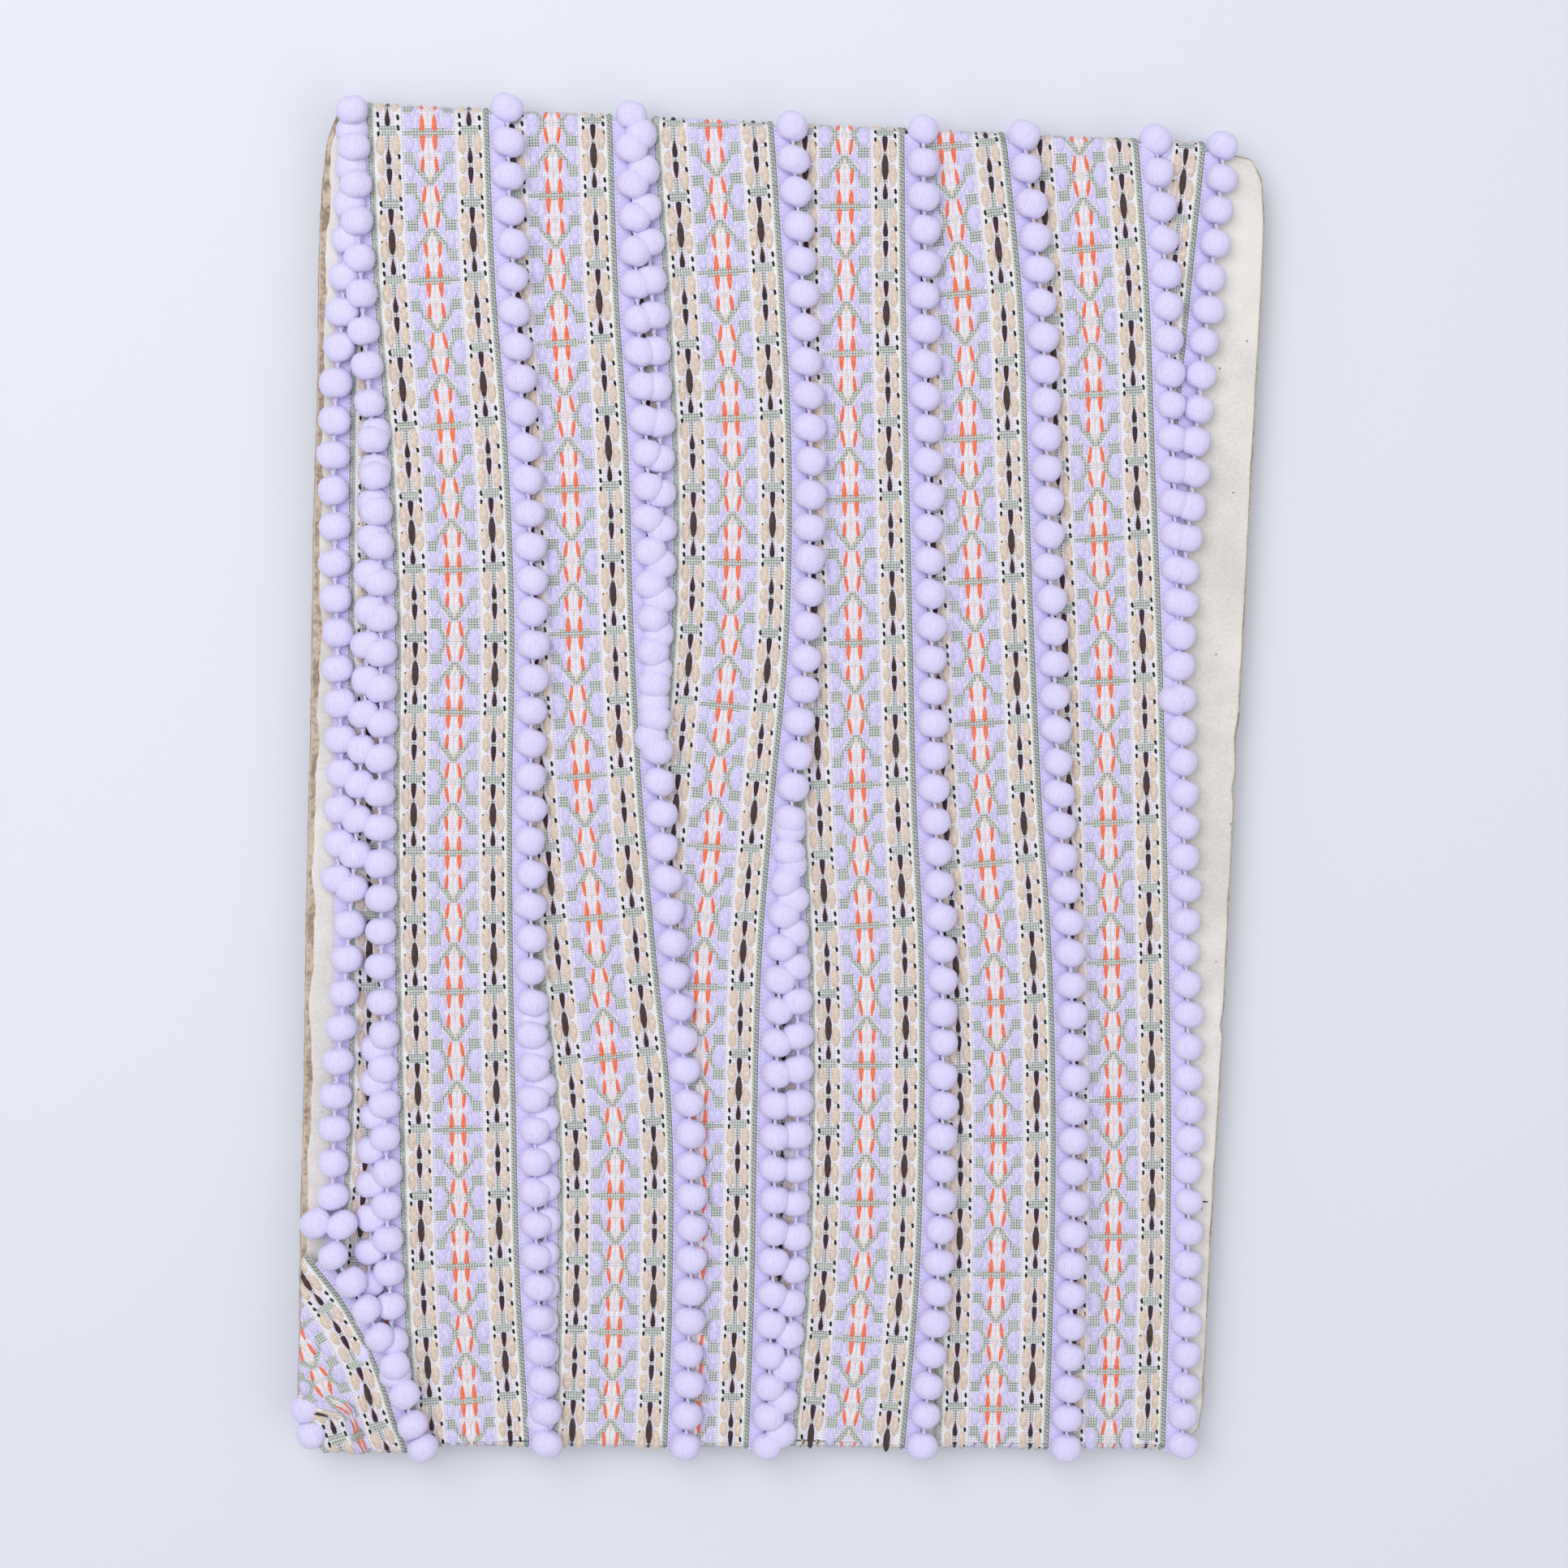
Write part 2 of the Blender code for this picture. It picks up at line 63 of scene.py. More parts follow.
CLEARANCE = 0.3
CARD_LOW, CARD_HIGH = (np.array(corner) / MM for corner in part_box("card"))
FRONT_FACE = CARD_HIGH[2] + CLEARANCE
BACK_FACE = CARD_LOW[2] - CLEARANCE
MIDDLE = (FRONT_FACE + BACK_FACE) / 2
HALF_GAP = (FRONT_FACE - BACK_FACE) / 2
END = CARD_HIGH[1] + CLEARANCE
FOLD_LENGTH = 9.5
BAND_HALF = 13.3
TURN_LENGTH = 4 * END + 2 * FOLD_LENGTH
REPEAT = 31.8
RUNS = ("1", "2", "3", "4", "5", "6", "7")
# The height of a pompom's middle over the front's ribbon.
POMPOM_REST = FRONT_FACE + 1.3 + 2.6


def srgb(red: int, green: int, blue: int) -> Colour:
    """Turn a screen colour of 0 to 255 into the linear colour that a shader takes."""
    values = []
    for part in (red, green, blue):
        level = part / 255
        values.append(level / 12.92 if level <= 0.04045 else ((level + 0.055) / 1.055) ** 2.4)
    return tuple(values)


class Slot(Enum):
    """The record's material slots."""

    CARD = "card"
    RIBBON = "ribbon"
    POMPOM = "pompom"


class Yarn(Enum):
    """The yarns of the pattern, in the order of a float mesh's materials."""

    LILAC = 0
    WHITE = 1
    ORANGE = 2
    CREAM = 3
    BEIGE = 4
    BROWN = 5
    PLUM = 6
    BLACK = 7
    GREY = 8
    PALE_GREY = 9
    PINK = 10


class Mirror(Enum):
    """How a stitch of the chart is reflected about the centre line and about the bar."""

    NONE = (False, False)
    ACROSS = (True, False)
    ALONG = (False, True)
    BOTH = (True, True)


class Recipe:
    """A material under construction: its node tree and short ways to add nodes to it."""

    def __init__(self, name: str, roughness: float, sheen: float = 0.0) -> None:
        """Start a material with these even finish values.

        Args:
            name: the material's name
            roughness: the shader's roughness
            sheen: the weight of its sheen
        """
        self.material = bpy.data.materials.new(name)
        self.material.use_nodes = True
        self.tree = self.material.node_tree
        self.shader = self.tree.nodes["Principled BSDF"]
        self.shader.inputs["Roughness"].default_value = roughness
        self.shader.inputs["Sheen Weight"].default_value = sheen
        self.shader.inputs["Sheen Roughness"].default_value = 0.5
        self.shader.inputs["Specular IOR Level"].default_value = 0.25

    def node(self, kind: str, **settings: object) -> bpy.types.Node:
        """Add a node.

        Args:
            kind: the node's Blender type
            settings: properties to set on it

        Returns:
            The node.
        """
        made = self.tree.nodes.new(kind)
        for key, value in settings.items():
            setattr(made, key, value)
        return made

    def feed(self, socket: bpy.types.NodeSocket, value: object) -> None:
        """Link value to socket, or set it there when it is a plain number or colour."""
        if isinstance(value, bpy.types.NodeSocket):
            self.tree.links.new(value, socket)
        elif isinstance(value, tuple) and len(value) == 3 and len(socket.default_value) == 4:
            socket.default_value = (*value, 1.0)
        else:
            socket.default_value = value

    def maths(self, operation: str, *values: object) -> bpy.types.NodeSocket:
        """Add a Math node.

        Args:
            operation: Blender's name of the operation
            values: its inputs, numbers or sockets

        Returns:
            Its result.
        """
        made = self.node("ShaderNodeMath", operation=operation)
        for socket, value in zip(made.inputs, values):
            self.feed(socket, value)
        return made.outputs[0]

    def mix(self, amount: object, first: object, second: object) -> bpy.types.NodeSocket:
        """Blend two colours: first at 0, second at 1."""
        made = self.node("ShaderNodeMix", data_type="RGBA")
        self.feed(made.inputs[0], amount)
        self.feed(made.inputs[6], first)
        self.feed(made.inputs[7], second)
        return made.outputs[2]

    def between(self, value: object, low: float, high: float) -> bpy.types.NodeSocket:
        """Rise smoothly from 0 to 1 as value goes from low to high."""
        made = self.node("ShaderNodeMapRange", interpolation_type="SMOOTHSTEP")
        self.feed(made.inputs[0], value)
        self.feed(made.inputs[1], low)
        self.feed(made.inputs[2], high)
        return made.outputs[0]

    def near(self, value: object, centre: object, reach: float, soft: float) -> bpy.types.NodeSocket:
        """Give 1 within reach of centre and 0 once value is soft further away."""
        distance = self.maths("ABSOLUTE", self.maths("SUBTRACT", value, centre))
        made = self.node("ShaderNodeMapRange", interpolation_type="SMOOTHSTEP")
        self.feed(made.inputs[0], distance)
        self.feed(made.inputs[1], reach + soft)
        self.feed(made.inputs[2], reach)
        return made.outputs[0]

    def marks(self) -> tuple[bpy.types.NodeSocket, bpy.types.NodeSocket]:
        """Give the two coordinates that the mesh's own map carries."""
        split = self.node("ShaderNodeSeparateXYZ")
        self.feed(split.inputs[0], self.node("ShaderNodeUVMap", uv_map="Lay").outputs[0])
        return split.outputs[0], split.outputs[1]

    def places(self) -> bpy.types.NodeSocket:
        """Give the point's place on the object, in metres."""
        return self.node("ShaderNodeTexCoord").outputs["Object"]

    def spread(self, first: object, second: object, third: object = 0.0) -> bpy.types.NodeSocket:
        """Join three numbers into a vector."""
        made = self.node("ShaderNodeCombineXYZ")
        for socket, value in zip(made.inputs, (first, second, third)):
            self.feed(socket, value)
        return made.outputs[0]

    def noise(self, vector: object, scale: float, detail: float = 2.0) -> bpy.types.NodeSocket:
        """Add a noise texture over vector.

        Args:
            vector: where the noise is read
            scale: its scale
            detail: its octaves

        Returns:
            Its value, about 0.5 on the average.
        """
        made = self.node("ShaderNodeTexNoise")
        self.feed(made.inputs["Vector"], vector)
        made.inputs["Scale"].default_value = scale
        made.inputs["Detail"].default_value = detail
        return made.outputs["Fac"]

    def finish(self, colour: object, height: object, depth: float) -> bpy.types.Material:
        """Wire the colour and the relief to the shader.

        Args:
            colour: the base colour
            height: the relief, 0 to 1
            depth: what a relief of 1 stands for, in millimetres

        Returns:
            The finished material.
        """
        self.feed(self.shader.inputs["Base Color"], colour)
        bump = self.node("ShaderNodeBump")
        bump.inputs["Distance"].default_value = depth * MM
        bump.inputs["Strength"].default_value = 1.0
        self.feed(bump.inputs["Height"], height)
        self.feed(self.shader.inputs["Normal"], bump.outputs[0])
        return self.material


@dataclass(frozen=True)
class ThreadFinish:
    """A float of loose parallel threads: fine lines along it, with painted shade in the grooves between
    the strands, and a little unevenness.
    """

    name: str
    light: Colour
    # shade is painted shade, laid in the grooves between the strands
    shade: Colour
    roughness: float = 0.5
    sheen: float = 0.25
    threads: float = 3.6
    depth: float = 0.07

    def material(self) -> bpy.types.Material:
        """Build the thread's material."""
        recipe = Recipe(self.name, self.roughness, self.sheen)
        across, along = recipe.marks()
        strand = recipe.noise(
            recipe.spread(recipe.maths("MULTIPLY", across, self.threads), along), 1.0, 3.0
        )
        grain = recipe.noise(recipe.places(), 900.0, 1.0)
        lines = recipe.between(strand, 0.34, 0.66)
        # Painted shade: the colour falls to the shade colour in the grooves between the strands.
        tone = recipe.maths("MULTIPLY_ADD", lines, 0.75, recipe.maths("MULTIPLY", grain, 0.25))
        return recipe.finish(recipe.mix(tone, self.shade, self.light), lines, self.depth)


@dataclass(frozen=True)
class PileFinish:
    """Soft yarn drawn over a pompom: fibre lines from pole to pole under a fine nap, with painted shade
    in the hollows of the relief.
    """

    name: str
    light: Colour
    # shade is painted shade, for the hollows of the pile
    shade: Colour
    roughness: float = 0.9
    sheen: float = 0.35
    depth: float = 0.16

    def material(self) -> bpy.types.Material:
        """Build the pompom's material."""
        recipe = Recipe(self.name, self.roughness, self.sheen)
        round_it, along = recipe.marks()
        lines = recipe.noise(
            recipe.spread(recipe.maths("MULTIPLY", round_it, 9.0), along), 1.0, 3.0
        )
        nap = recipe.noise(recipe.places(), 2600.0, 2.0)
        relief = recipe.maths("MULTIPLY_ADD", nap, 0.5, recipe.maths("MULTIPLY", lines, 0.5))
        # Painted shade: the low parts of the relief take the shade colour.
        tone = recipe.between(relief, 0.3, 0.62)
        return recipe.finish(recipe.mix(tone, self.shade, self.light), relief, self.depth)


@dataclass(frozen=True)
class TapeFinish:
    """The pompoms' own tape: a close plain weave in one colour, with painted shade in the hollows
    between its ribs.
    """

    name: str
    light: Colour
    # shade is painted shade, for the hollows between the ribs
    shade: Colour
    rib: float = 0.45
    roughness: float = 0.8
    depth: float = 0.08

    def material(self) -> bpy.types.Material:
        """Build the tape's material."""
        recipe = Recipe(self.name, self.roughness, 0.2)
        across, along = recipe.marks()
        turn = 2 * math.pi / self.rib
        lean = recipe.maths("MULTIPLY_ADD", across, 0.6 * turn, recipe.maths("MULTIPLY", along, turn))
        ribs = recipe.maths("MULTIPLY_ADD", recipe.maths("SINE", lean), 0.5, 0.5)
        grain = recipe.noise(recipe.places(), 1500.0, 2.0)
        relief = recipe.maths("MULTIPLY_ADD", grain, 0.4, recipe.maths("MULTIPLY", ribs, 0.6))
        # Painted shade: the ribs' hollows take the shade colour.
        return recipe.finish(recipe.mix(relief, self.shade, self.light), relief, self.depth)


@dataclass(frozen=True)
class GroundFinish:
    """The ribbon's ground: a seed weave whose grey figures follow the pattern's repeat, the ground
    between their pale seeds and under the selvedges painted dark grey as shade.
    """

    name: str = "ground_weave"
    pale: Colour = srgb(238, 233, 247)
    gap: Colour = srgb(196, 190, 212)
    bead: Colour = srgb(206, 212, 206)
    # painted shade: the dark grey between the pale seed beads, in the figures and under the selvedges
    painted_bead_gap_shade: Colour = srgb(104, 110, 106)
    picot: Colour = srgb(240, 238, 238)
    seed: float = 1.24
    depth: float = 0.14

    def figures(self, recipe: Recipe, across: object, along: object) -> bpy.types.NodeSocket:
        """Give 1 where the grey figures lie, where the ground between the seed beads is painted dark
        grey as shade.

        Args:
            recipe: the material under construction
            across: millimetres from the centre line
            along: repeats along the ribbon, whole at each bar

        Returns:
            The share of grey.
        """
        side = recipe.maths("ABSOLUTE", across)
        fold = recipe.maths("PINGPONG", along, 0.5)
        below = recipe.maths("MULTIPLY", fold, REPEAT)
        border = recipe.maths(
            "MULTIPLY", recipe.maths("PINGPONG", recipe.maths("SUBTRACT", along, 0.27), 0.5), REPEAT
        )
        shapes = []
        first = recipe.maths("MULTIPLY_ADD", below, -0.72, 0.72 * 0.35 * REPEAT)
        within = recipe.near(below, 0.27 * REPEAT, 0.08 * REPEAT, 0.4)
        shapes.append(recipe.maths("MULTIPLY", recipe.near(side, first, 0.7, 0.3), within))
        second = recipe.maths("MULTIPLY_ADD", below, -0.6, 0.6 * 0.5 * REPEAT + 1.95)
        within = recipe.near(below, 0.45 * REPEAT, 0.06 * REPEAT, 0.4)
        shapes.append(recipe.maths("MULTIPLY", recipe.near(side, second, 0.6, 0.3), within))
        for height in (0.168, 0.375):
            patch = recipe.near(below, height * REPEAT, 1.05, 0.4)
            shapes.append(recipe.maths("MULTIPLY", recipe.near(side, 4.2, 1.15, 0.4), patch))
        for middle, half, tall in ((2.6, 0.8, 0.9), (0.0, 5.4, 0.3), (0.0, 0.5, 0.8)):
            bar = recipe.near(below, 0.0, tall, 0.3)
            shapes.append(recipe.maths("MULTIPLY", recipe.near(side, middle, half, 0.3), bar))
        bars = recipe.near(border, 0.255 * REPEAT, 0.85, 0.3)
        shapes.append(recipe.maths("MULTIPLY", recipe.near(side, 8.8, 1.9, 0.2), bars))
        shapes.append(recipe.near(side, 8.8, 0.35, 0.3))
        total = shapes[0]
        for shape in shapes[1:]:
            total = recipe.maths("MAXIMUM", total, shape)
        return total

    def material(self) -> bpy.types.Material:
        """Build the ground's material."""
        recipe = Recipe(self.name, 0.85, 0.15)
        across, along = recipe.marks()
        turn = 2 * math.pi / self.seed
        warp = recipe.maths("SINE", recipe.maths("MULTIPLY", across, turn))
        weft = recipe.maths("SINE", recipe.maths("MULTIPLY", along, turn * REPEAT))
        seeds = recipe.maths("ABSOLUTE", recipe.maths("MULTIPLY", warp, weft))
        tone = recipe.between(seeds, 0.04, 0.4)
        # The gap colour makes the plain ground darker between the seeds, where the relief dips.
        plain = recipe.mix(tone, self.gap, self.pale)
        side = recipe.maths("ABSOLUTE", across)
        picots = recipe.maths(
            "MAXIMUM", recipe.near(side, 6.7, 0.5, 0.15), recipe.near(side, 11.2, 0.6, 0.15)
        )
        plain = recipe.mix(picots, plain, self.picot)
        # Painted shade: where the figures and the selvedges lie, the ground between the pale seeds is
        # dark grey.
        beads_with_painted_gaps = recipe.mix(tone, self.painted_bead_gap_shade, self.bead)
        grey = recipe.maths(
            "MAXIMUM", self.figures(recipe, across, along), recipe.near(side, 12.6, 0.7, 0.1)
        )
        return recipe.finish(recipe.mix(grey, plain, beads_with_painted_gaps), seeds, self.depth)


@dataclass(frozen=True)
class BoardFinish:
    """Old winding board: a mottled pale face, fine specks and handling marks."""

    name: str = "board_face"
    light: Colour = srgb(232, 228, 222)
    shade: Colour = srgb(208, 203, 197)
    speck: Colour = srgb(120, 108, 98)
    depth: float = 0.12

    def material(self) -> bpy.types.Material:
        """Build the face paper's material."""
        recipe = Recipe(self.name, 0.82)
        place = recipe.places()
        cloudy = recipe.noise(place, 55.0, 5.0)
        fibre = recipe.noise(place, 1400.0, 3.0)
        specks = recipe.between(recipe.noise(place, 620.0, 1.0), 0.76, 0.8)
        tone = recipe.maths("MULTIPLY_ADD", fibre, 0.35, recipe.maths("MULTIPLY", cloudy, 0.8))
        colour = recipe.mix(recipe.between(tone, 0.35, 0.75), self.shade, self.light)
        colour = recipe.mix(recipe.maths("MULTIPLY", specks, 0.7), colour, self.speck)
        return recipe.finish(colour, fibre, self.depth)


@dataclass(frozen=True)
class KraftFinish:
    """The board's brown core, in thin layers that show along its edge."""

    name: str = "board_core"
    light: Colour = srgb(205, 188, 170)
    shade: Colour = srgb(150, 130, 112)
    layers_per_mm: float = 2.2
    depth: float = 0.2

    def material(self) -> bpy.types.Material:
        """Build the core's material."""
        recipe = Recipe(self.name, 0.9)
        place = recipe.places()
        split = recipe.node("ShaderNodeSeparateXYZ")
        recipe.feed(split.inputs[0], place)
        wander = recipe.noise(place, 140.0, 3.0)
        level = recipe.maths("MULTIPLY", split.outputs[2], self.layers_per_mm * 2 * math.pi / MM)
        layer = recipe.maths("SINE", recipe.maths("MULTIPLY_ADD", wander, 5.0, level))
        fibre = recipe.noise(place, 1100.0, 3.0)
        relief = recipe.maths("MULTIPLY_ADD", layer, 0.22, fibre)
        colour = recipe.mix(recipe.between(relief, 0.25, 0.75), self.shade, self.light)
        return recipe.finish(colour, relief, self.depth)


# Each thread's second colour is painted shade, for the grooves between its strands.
FLOAT_FINISHES = {
    Yarn.LILAC: ThreadFinish("lilac_float", srgb(228, 222, 250), srgb(196, 187, 238), 0.42, 0.3),
    Yarn.WHITE: ThreadFinish("white_float", srgb(250, 248, 248), srgb(222, 216, 226), 0.45),
    Yarn.ORANGE: ThreadFinish("orange_float", srgb(255, 140, 104), srgb(232, 96, 56), 0.45),
    Yarn.CREAM: ThreadFinish("cream_float", srgb(244, 232, 222), srgb(222, 204, 190), 0.45),
    Yarn.BEIGE: ThreadFinish("beige_float", srgb(240, 224, 208), srgb(206, 184, 164), 0.45),
    Yarn.BROWN: ThreadFinish("brown_float", srgb(84, 62, 56), srgb(46, 32, 28), 0.5),
    Yarn.PLUM: ThreadFinish("plum_float", srgb(66, 38, 46), srgb(34, 18, 22), 0.5),
    Yarn.BLACK: ThreadFinish("black_dot", srgb(22, 18, 20), srgb(8, 6, 8), 0.6),
    Yarn.GREY: ThreadFinish("grey_stitch", srgb(160, 167, 162), srgb(108, 114, 110), 0.6),
    Yarn.PALE_GREY: ThreadFinish("pale_seed", srgb(218, 224, 218), srgb(168, 176, 170), 0.6),
    Yarn.PINK: ThreadFinish("pink_outline", srgb(250, 232, 236), srgb(230, 200, 210), 0.5),
}
# The pompom's second colour is painted shade in its hollows.
POMPOM_FINISH = PileFinish("pompom_pile", srgb(226, 220, 250), srgb(210, 202, 244))
# The tape's second colour is painted shade in its rib hollows.
TAPE_FINISH = TapeFinish("pompom_tape", srgb(224, 217, 250), srgb(202, 194, 240))
# The neck thread is whiter than the pompoms, partly its own colour and partly a painted highlight at
# the pompoms' roots.
NECK_FINISH = ThreadFinish("neck_thread", srgb(240, 236, 252), srgb(196, 188, 230), 0.6)
# The sewing thread is darker than the tape, partly its own colour and partly painted shade of the
# stitch holes.
SEWING_FINISH = ThreadFinish("sewing_thread", srgb(176, 166, 214), srgb(128, 118, 170), 0.6)


class MeshPile:
    """Gathers many small forms into one mesh, with a map and a finish for each."""

    def __init__(self) -> None:
        """Start empty."""
        self.points: list[Array] = []
        self.marks: list[Array] = []
        self.faces: list[tuple[Array, int]] = []
        self.count = 0

    def add(self, points: Array, faces: Array, marks: Array, finish: int = 0) -> None:
        """Add copies of a form.

        Args:
            points: each copy's points, copies by points by three, or one copy's points by three
            faces: the corners of each face of one copy
            marks: the map's two numbers for each point, shaped as the points are
            finish: the number of the finish in the mesh's list
        """
        if points.ndim == 2:
            points, marks = points[None], marks[None]
        copies, size = points.shape[:2]
        if not copies:
            return
        starts = self.count + size * np.arange(copies)
        corners = (faces[None] + starts[:, None, None]).reshape(-1, faces.shape[1])
        self.points.append(points.reshape(-1, 3))
        self.marks.append(np.broadcast_to(marks, (copies, size, 2)).reshape(-1, 2))
        self.faces.append((corners, finish))
        self.count += copies * size

    def make(self, name: str, finishes: Sequence[bpy.types.Material]) -> bpy.types.Object:
        """Make one smooth-shaded piece that rides on the body.

        Args:
            name: the piece's name
            finishes: its materials

        Returns:
            The piece.
        """
        points, marks = np.concatenate(self.points), np.concatenate(self.marks)
        corners = np.concatenate([faces.ravel() for faces, _ in self.faces])
        sizes = np.concatenate([np.full(len(f), f.shape[1]) for f, _ in self.faces])
        numbers = np.concatenate([np.full(len(f), finish) for f, finish in self.faces])
        mesh = bpy.data.meshes.new(name)
        mesh.vertices.add(len(points))
        mesh.vertices.foreach_set("co", (points * MM).astype(np.float32).ravel())
        mesh.loops.add(len(corners))
        mesh.loops.foreach_set("vertex_index", corners.astype(np.int32))
        mesh.polygons.add(len(sizes))
        starts = np.concatenate([[0], np.cumsum(sizes)[:-1]])
        mesh.polygons.foreach_set("loop_start", starts.astype(np.int32))
        mesh.polygons.foreach_set("material_index", numbers.astype(np.int32))
        lay = mesh.uv_layers.new(name="Lay")
        lay.data.foreach_set("uv", marks[corners].astype(np.float32).ravel())
        for finish in finishes:
            mesh.materials.append(finish)
        mesh.update(calc_edges=True)
        mesh.validate()
        mesh.shade_smooth()
        piece = bpy.data.objects.new(name, mesh)
        bpy.context.scene.collection.objects.link(piece)
        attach(piece, BODY)
        LOG.info("%s: %d faces", name, len(sizes))
        return piece


def grid_faces(rows: int, columns: int) -> Array:
    """The quads of a grid of points, each facing outwards where across times along does.

    Args:
        rows: points along
        columns: points across

    Returns:
        Four corners for each quad.
    """
    first = (np.arange(rows - 1)[:, None] * columns + np.arange(columns - 1)[None]).ravel()
    return np.stack([first, first + 1, first + 1 + columns, first + columns], axis=1)


def smooth_line(knots: Sequence[float], values: Sequence[float], at: Array) -> Array:
    """Read a smooth curve through values at knots.

    Args:
        knots: rising places
        values: the value at each
        at: where to read

    Returns:
        The values there, level beyond the ends.
    """
    knots, values = np.asarray(knots, float), np.asarray(values, float)
    slopes = np.gradient(values, knots)
    at = np.clip(at, knots[0], knots[-1])
    i = np.clip(np.searchsorted(knots, at) - 1, 0, len(knots) - 2)
    span = knots[i + 1] - knots[i]
    t = (at - knots[i]) / span
    return (
        (2 * t**3 - 3 * t**2 + 1) * values[i]
        + (t**3 - 2 * t**2 + t) * span * slopes[i]
        + (3 * t**2 - 2 * t**3) * values[i + 1]
        + (t**3 - t**2) * span * slopes[i + 1]
    )


HEIGHTS = (-149.0, -112.0, -75.0, -37.0, 0.0, 37.0, 75.0, 112.0, 149.0)


@dataclass(frozen=True)
class Turn:
    """One turn of the ribbon: up the front, over the top, down the back and under the end.

    Along a turn the length runs from minus END at the foot of the front to END at its top, then
    over the top fold, down the back and round the bottom fold to the next turn's foot.
    """

    name: str
    centres: tuple[float, ...]  # its centre line on the front, in x, at HEIGHTS
    highest_bar: float  # the pattern's bars nearest to the front's two ends, in y
    lowest_bar: float
    base: float = 0.8
    lift: float = 1.6
    behind_base: float = 0.8
    reach: float = 1.8
    arrives: float = 0.0  # the next turn's centre and bar at its foot
    next_bar: float = -130.0

    def centre(self, along: Array) -> Array:
        """Give the centre line's x at these places along the turn."""
        top = self.centres[-1]
        front = smooth_line(HEIGHTS, self.centres, along)
        share = np.clip((along - END - FOLD_LENGTH) / (2 * END), 0.0, 1.0)
        return np.where(along <= END, front, top + (self.arrives - top) * share)

    def slope(self, along: Array) -> Array:
        """Give how far the centre line leans sideways for each millimetre along."""
        reach = 6.0
        return (self.centre(along + reach) - self.centre(along - reach)) / (2 * reach)

    def place(self, across: Array, along: Array) -> Array:
        """Give the cloth's face, in millimetres.

        Args:
            across: how far to the right of the centre line
            along: how far along the turn

        Returns:
            One point for each place.
        """
        across, along = np.broadcast_arrays(np.asarray(across, float), np.asarray(along, float))
        x = self.centre(along) + across
        along = along - across * self.slope(along)
        over = np.clip((along - END) / FOLD_LENGTH, 0.0, 1.0)
        under = np.clip((along - 3 * END - FOLD_LENGTH) / FOLD_LENGTH, 0.0, 1.0)
        angle = math.pi * (0.5 - over - under)
        share = np.clip((across + BAND_HALF) / (2 * BAND_HALF), 0.0, 1.0)
        rise = 0.6 * share + 0.4 * share**2
        front = self.base + self.lift * rise
        behind = self.behind_base + 1.6 * rise
        height = front + (behind - front) * over * (1.0 - under)
        ripple = 0.1 * np.sin(along / 9.0 + 2.0 * self.centres[0]) * np.sin(across / 5.0 + along / 23.0)
        level = HALF_GAP + height + ripple
        bulge = self.reach * np.abs(np.cos(angle)) ** 0.7
        y = np.where(along <= END, along, END + bulge)
        y = np.where(along > END + FOLD_LENGTH, 2 * END + FOLD_LENGTH - along, y)
        y = np.where(along > 3 * END + FOLD_LENGTH, -END - bulge, y)
        return np.stack([x, y, MIDDLE + level * np.sin(angle)], axis=-1)

    def bars(self) -> tuple[Array, Array]:
        """Give the pattern's count of repeats and the length along the turn, at its knots."""
        front = round((self.highest_bar - self.lowest_bar) / REPEAT)
        arrival = TURN_LENGTH - END + self.next_bar + END
        rest = round((arrival - self.highest_bar) / REPEAT)
        before = (self.highest_bar - self.lowest_bar) / front
        counts = np.array([-2.0, 0.0, front, front + rest])
        lengths = np.array([self.lowest_bar - 2 * before, self.lowest_bar, self.highest_bar, arrival])
        return counts, lengths

    def along_of(self, repeats: Array) -> Array:
        """Give the length along the turn at a count of repeats."""
        counts, lengths = self.bars()
        return np.interp(repeats, counts, lengths)

    def repeats_of(self, along: Array) -> Array:
        """Give the count of repeats at a length along the turn."""
        counts, lengths = self.bars()
        past = (along - lengths[-1]) / (lengths[-1] - lengths[-2]) * (counts[-1] - counts[-2])
        return np.where(along > lengths[-1], counts[-1] + past, np.interp(along, lengths, counts))


def raised(surface: Surface, across: Array, along: Array, height: Array) -> Array:
    """Give points at a height off a surface, along its outward side.

    Args:
        surface: the surface
        across: how far across it
        along: how far along it
        height: how far off it

    Returns:
        The points.
    """
    step = 0.2
    sideways = surface(across + step, along) - surface(across - step, along)
    onwards = surface(across, along + step) - surface(across, along - step)
    normal = np.cross(sideways, onwards)
    normal /= np.maximum(np.linalg.norm(normal, axis=-1, keepdims=True), 1e-9)
    return surface(across, along) + normal * height[..., None]


@dataclass(frozen=True)
class Stitch:
    """One float of the chart. Places are (across in millimetres, repeats below the bar)."""

    yarn: Yarn
    start: tuple[float, float]
    end: tuple[float, float]
    width: float
    swell: float = 0.0  # -1 is widest at its start, 1 at its end
    height: float = 0.5
    mirror: Mirror = Mirror.NONE

    def reflected(self) -> Iterable["Stitch"]:
        """Give this stitch and its reflections."""
        across, along = self.mirror.value
        for side in (1, -1) if across else (1,):
            for way in (1, -1) if along else (1,):
                start = (side * self.start[0], way * self.start[1])
                end = (side * self.end[0], way * self.end[1])
                yield Stitch(self.yarn, start, end, self.width, self.swell, self.height)


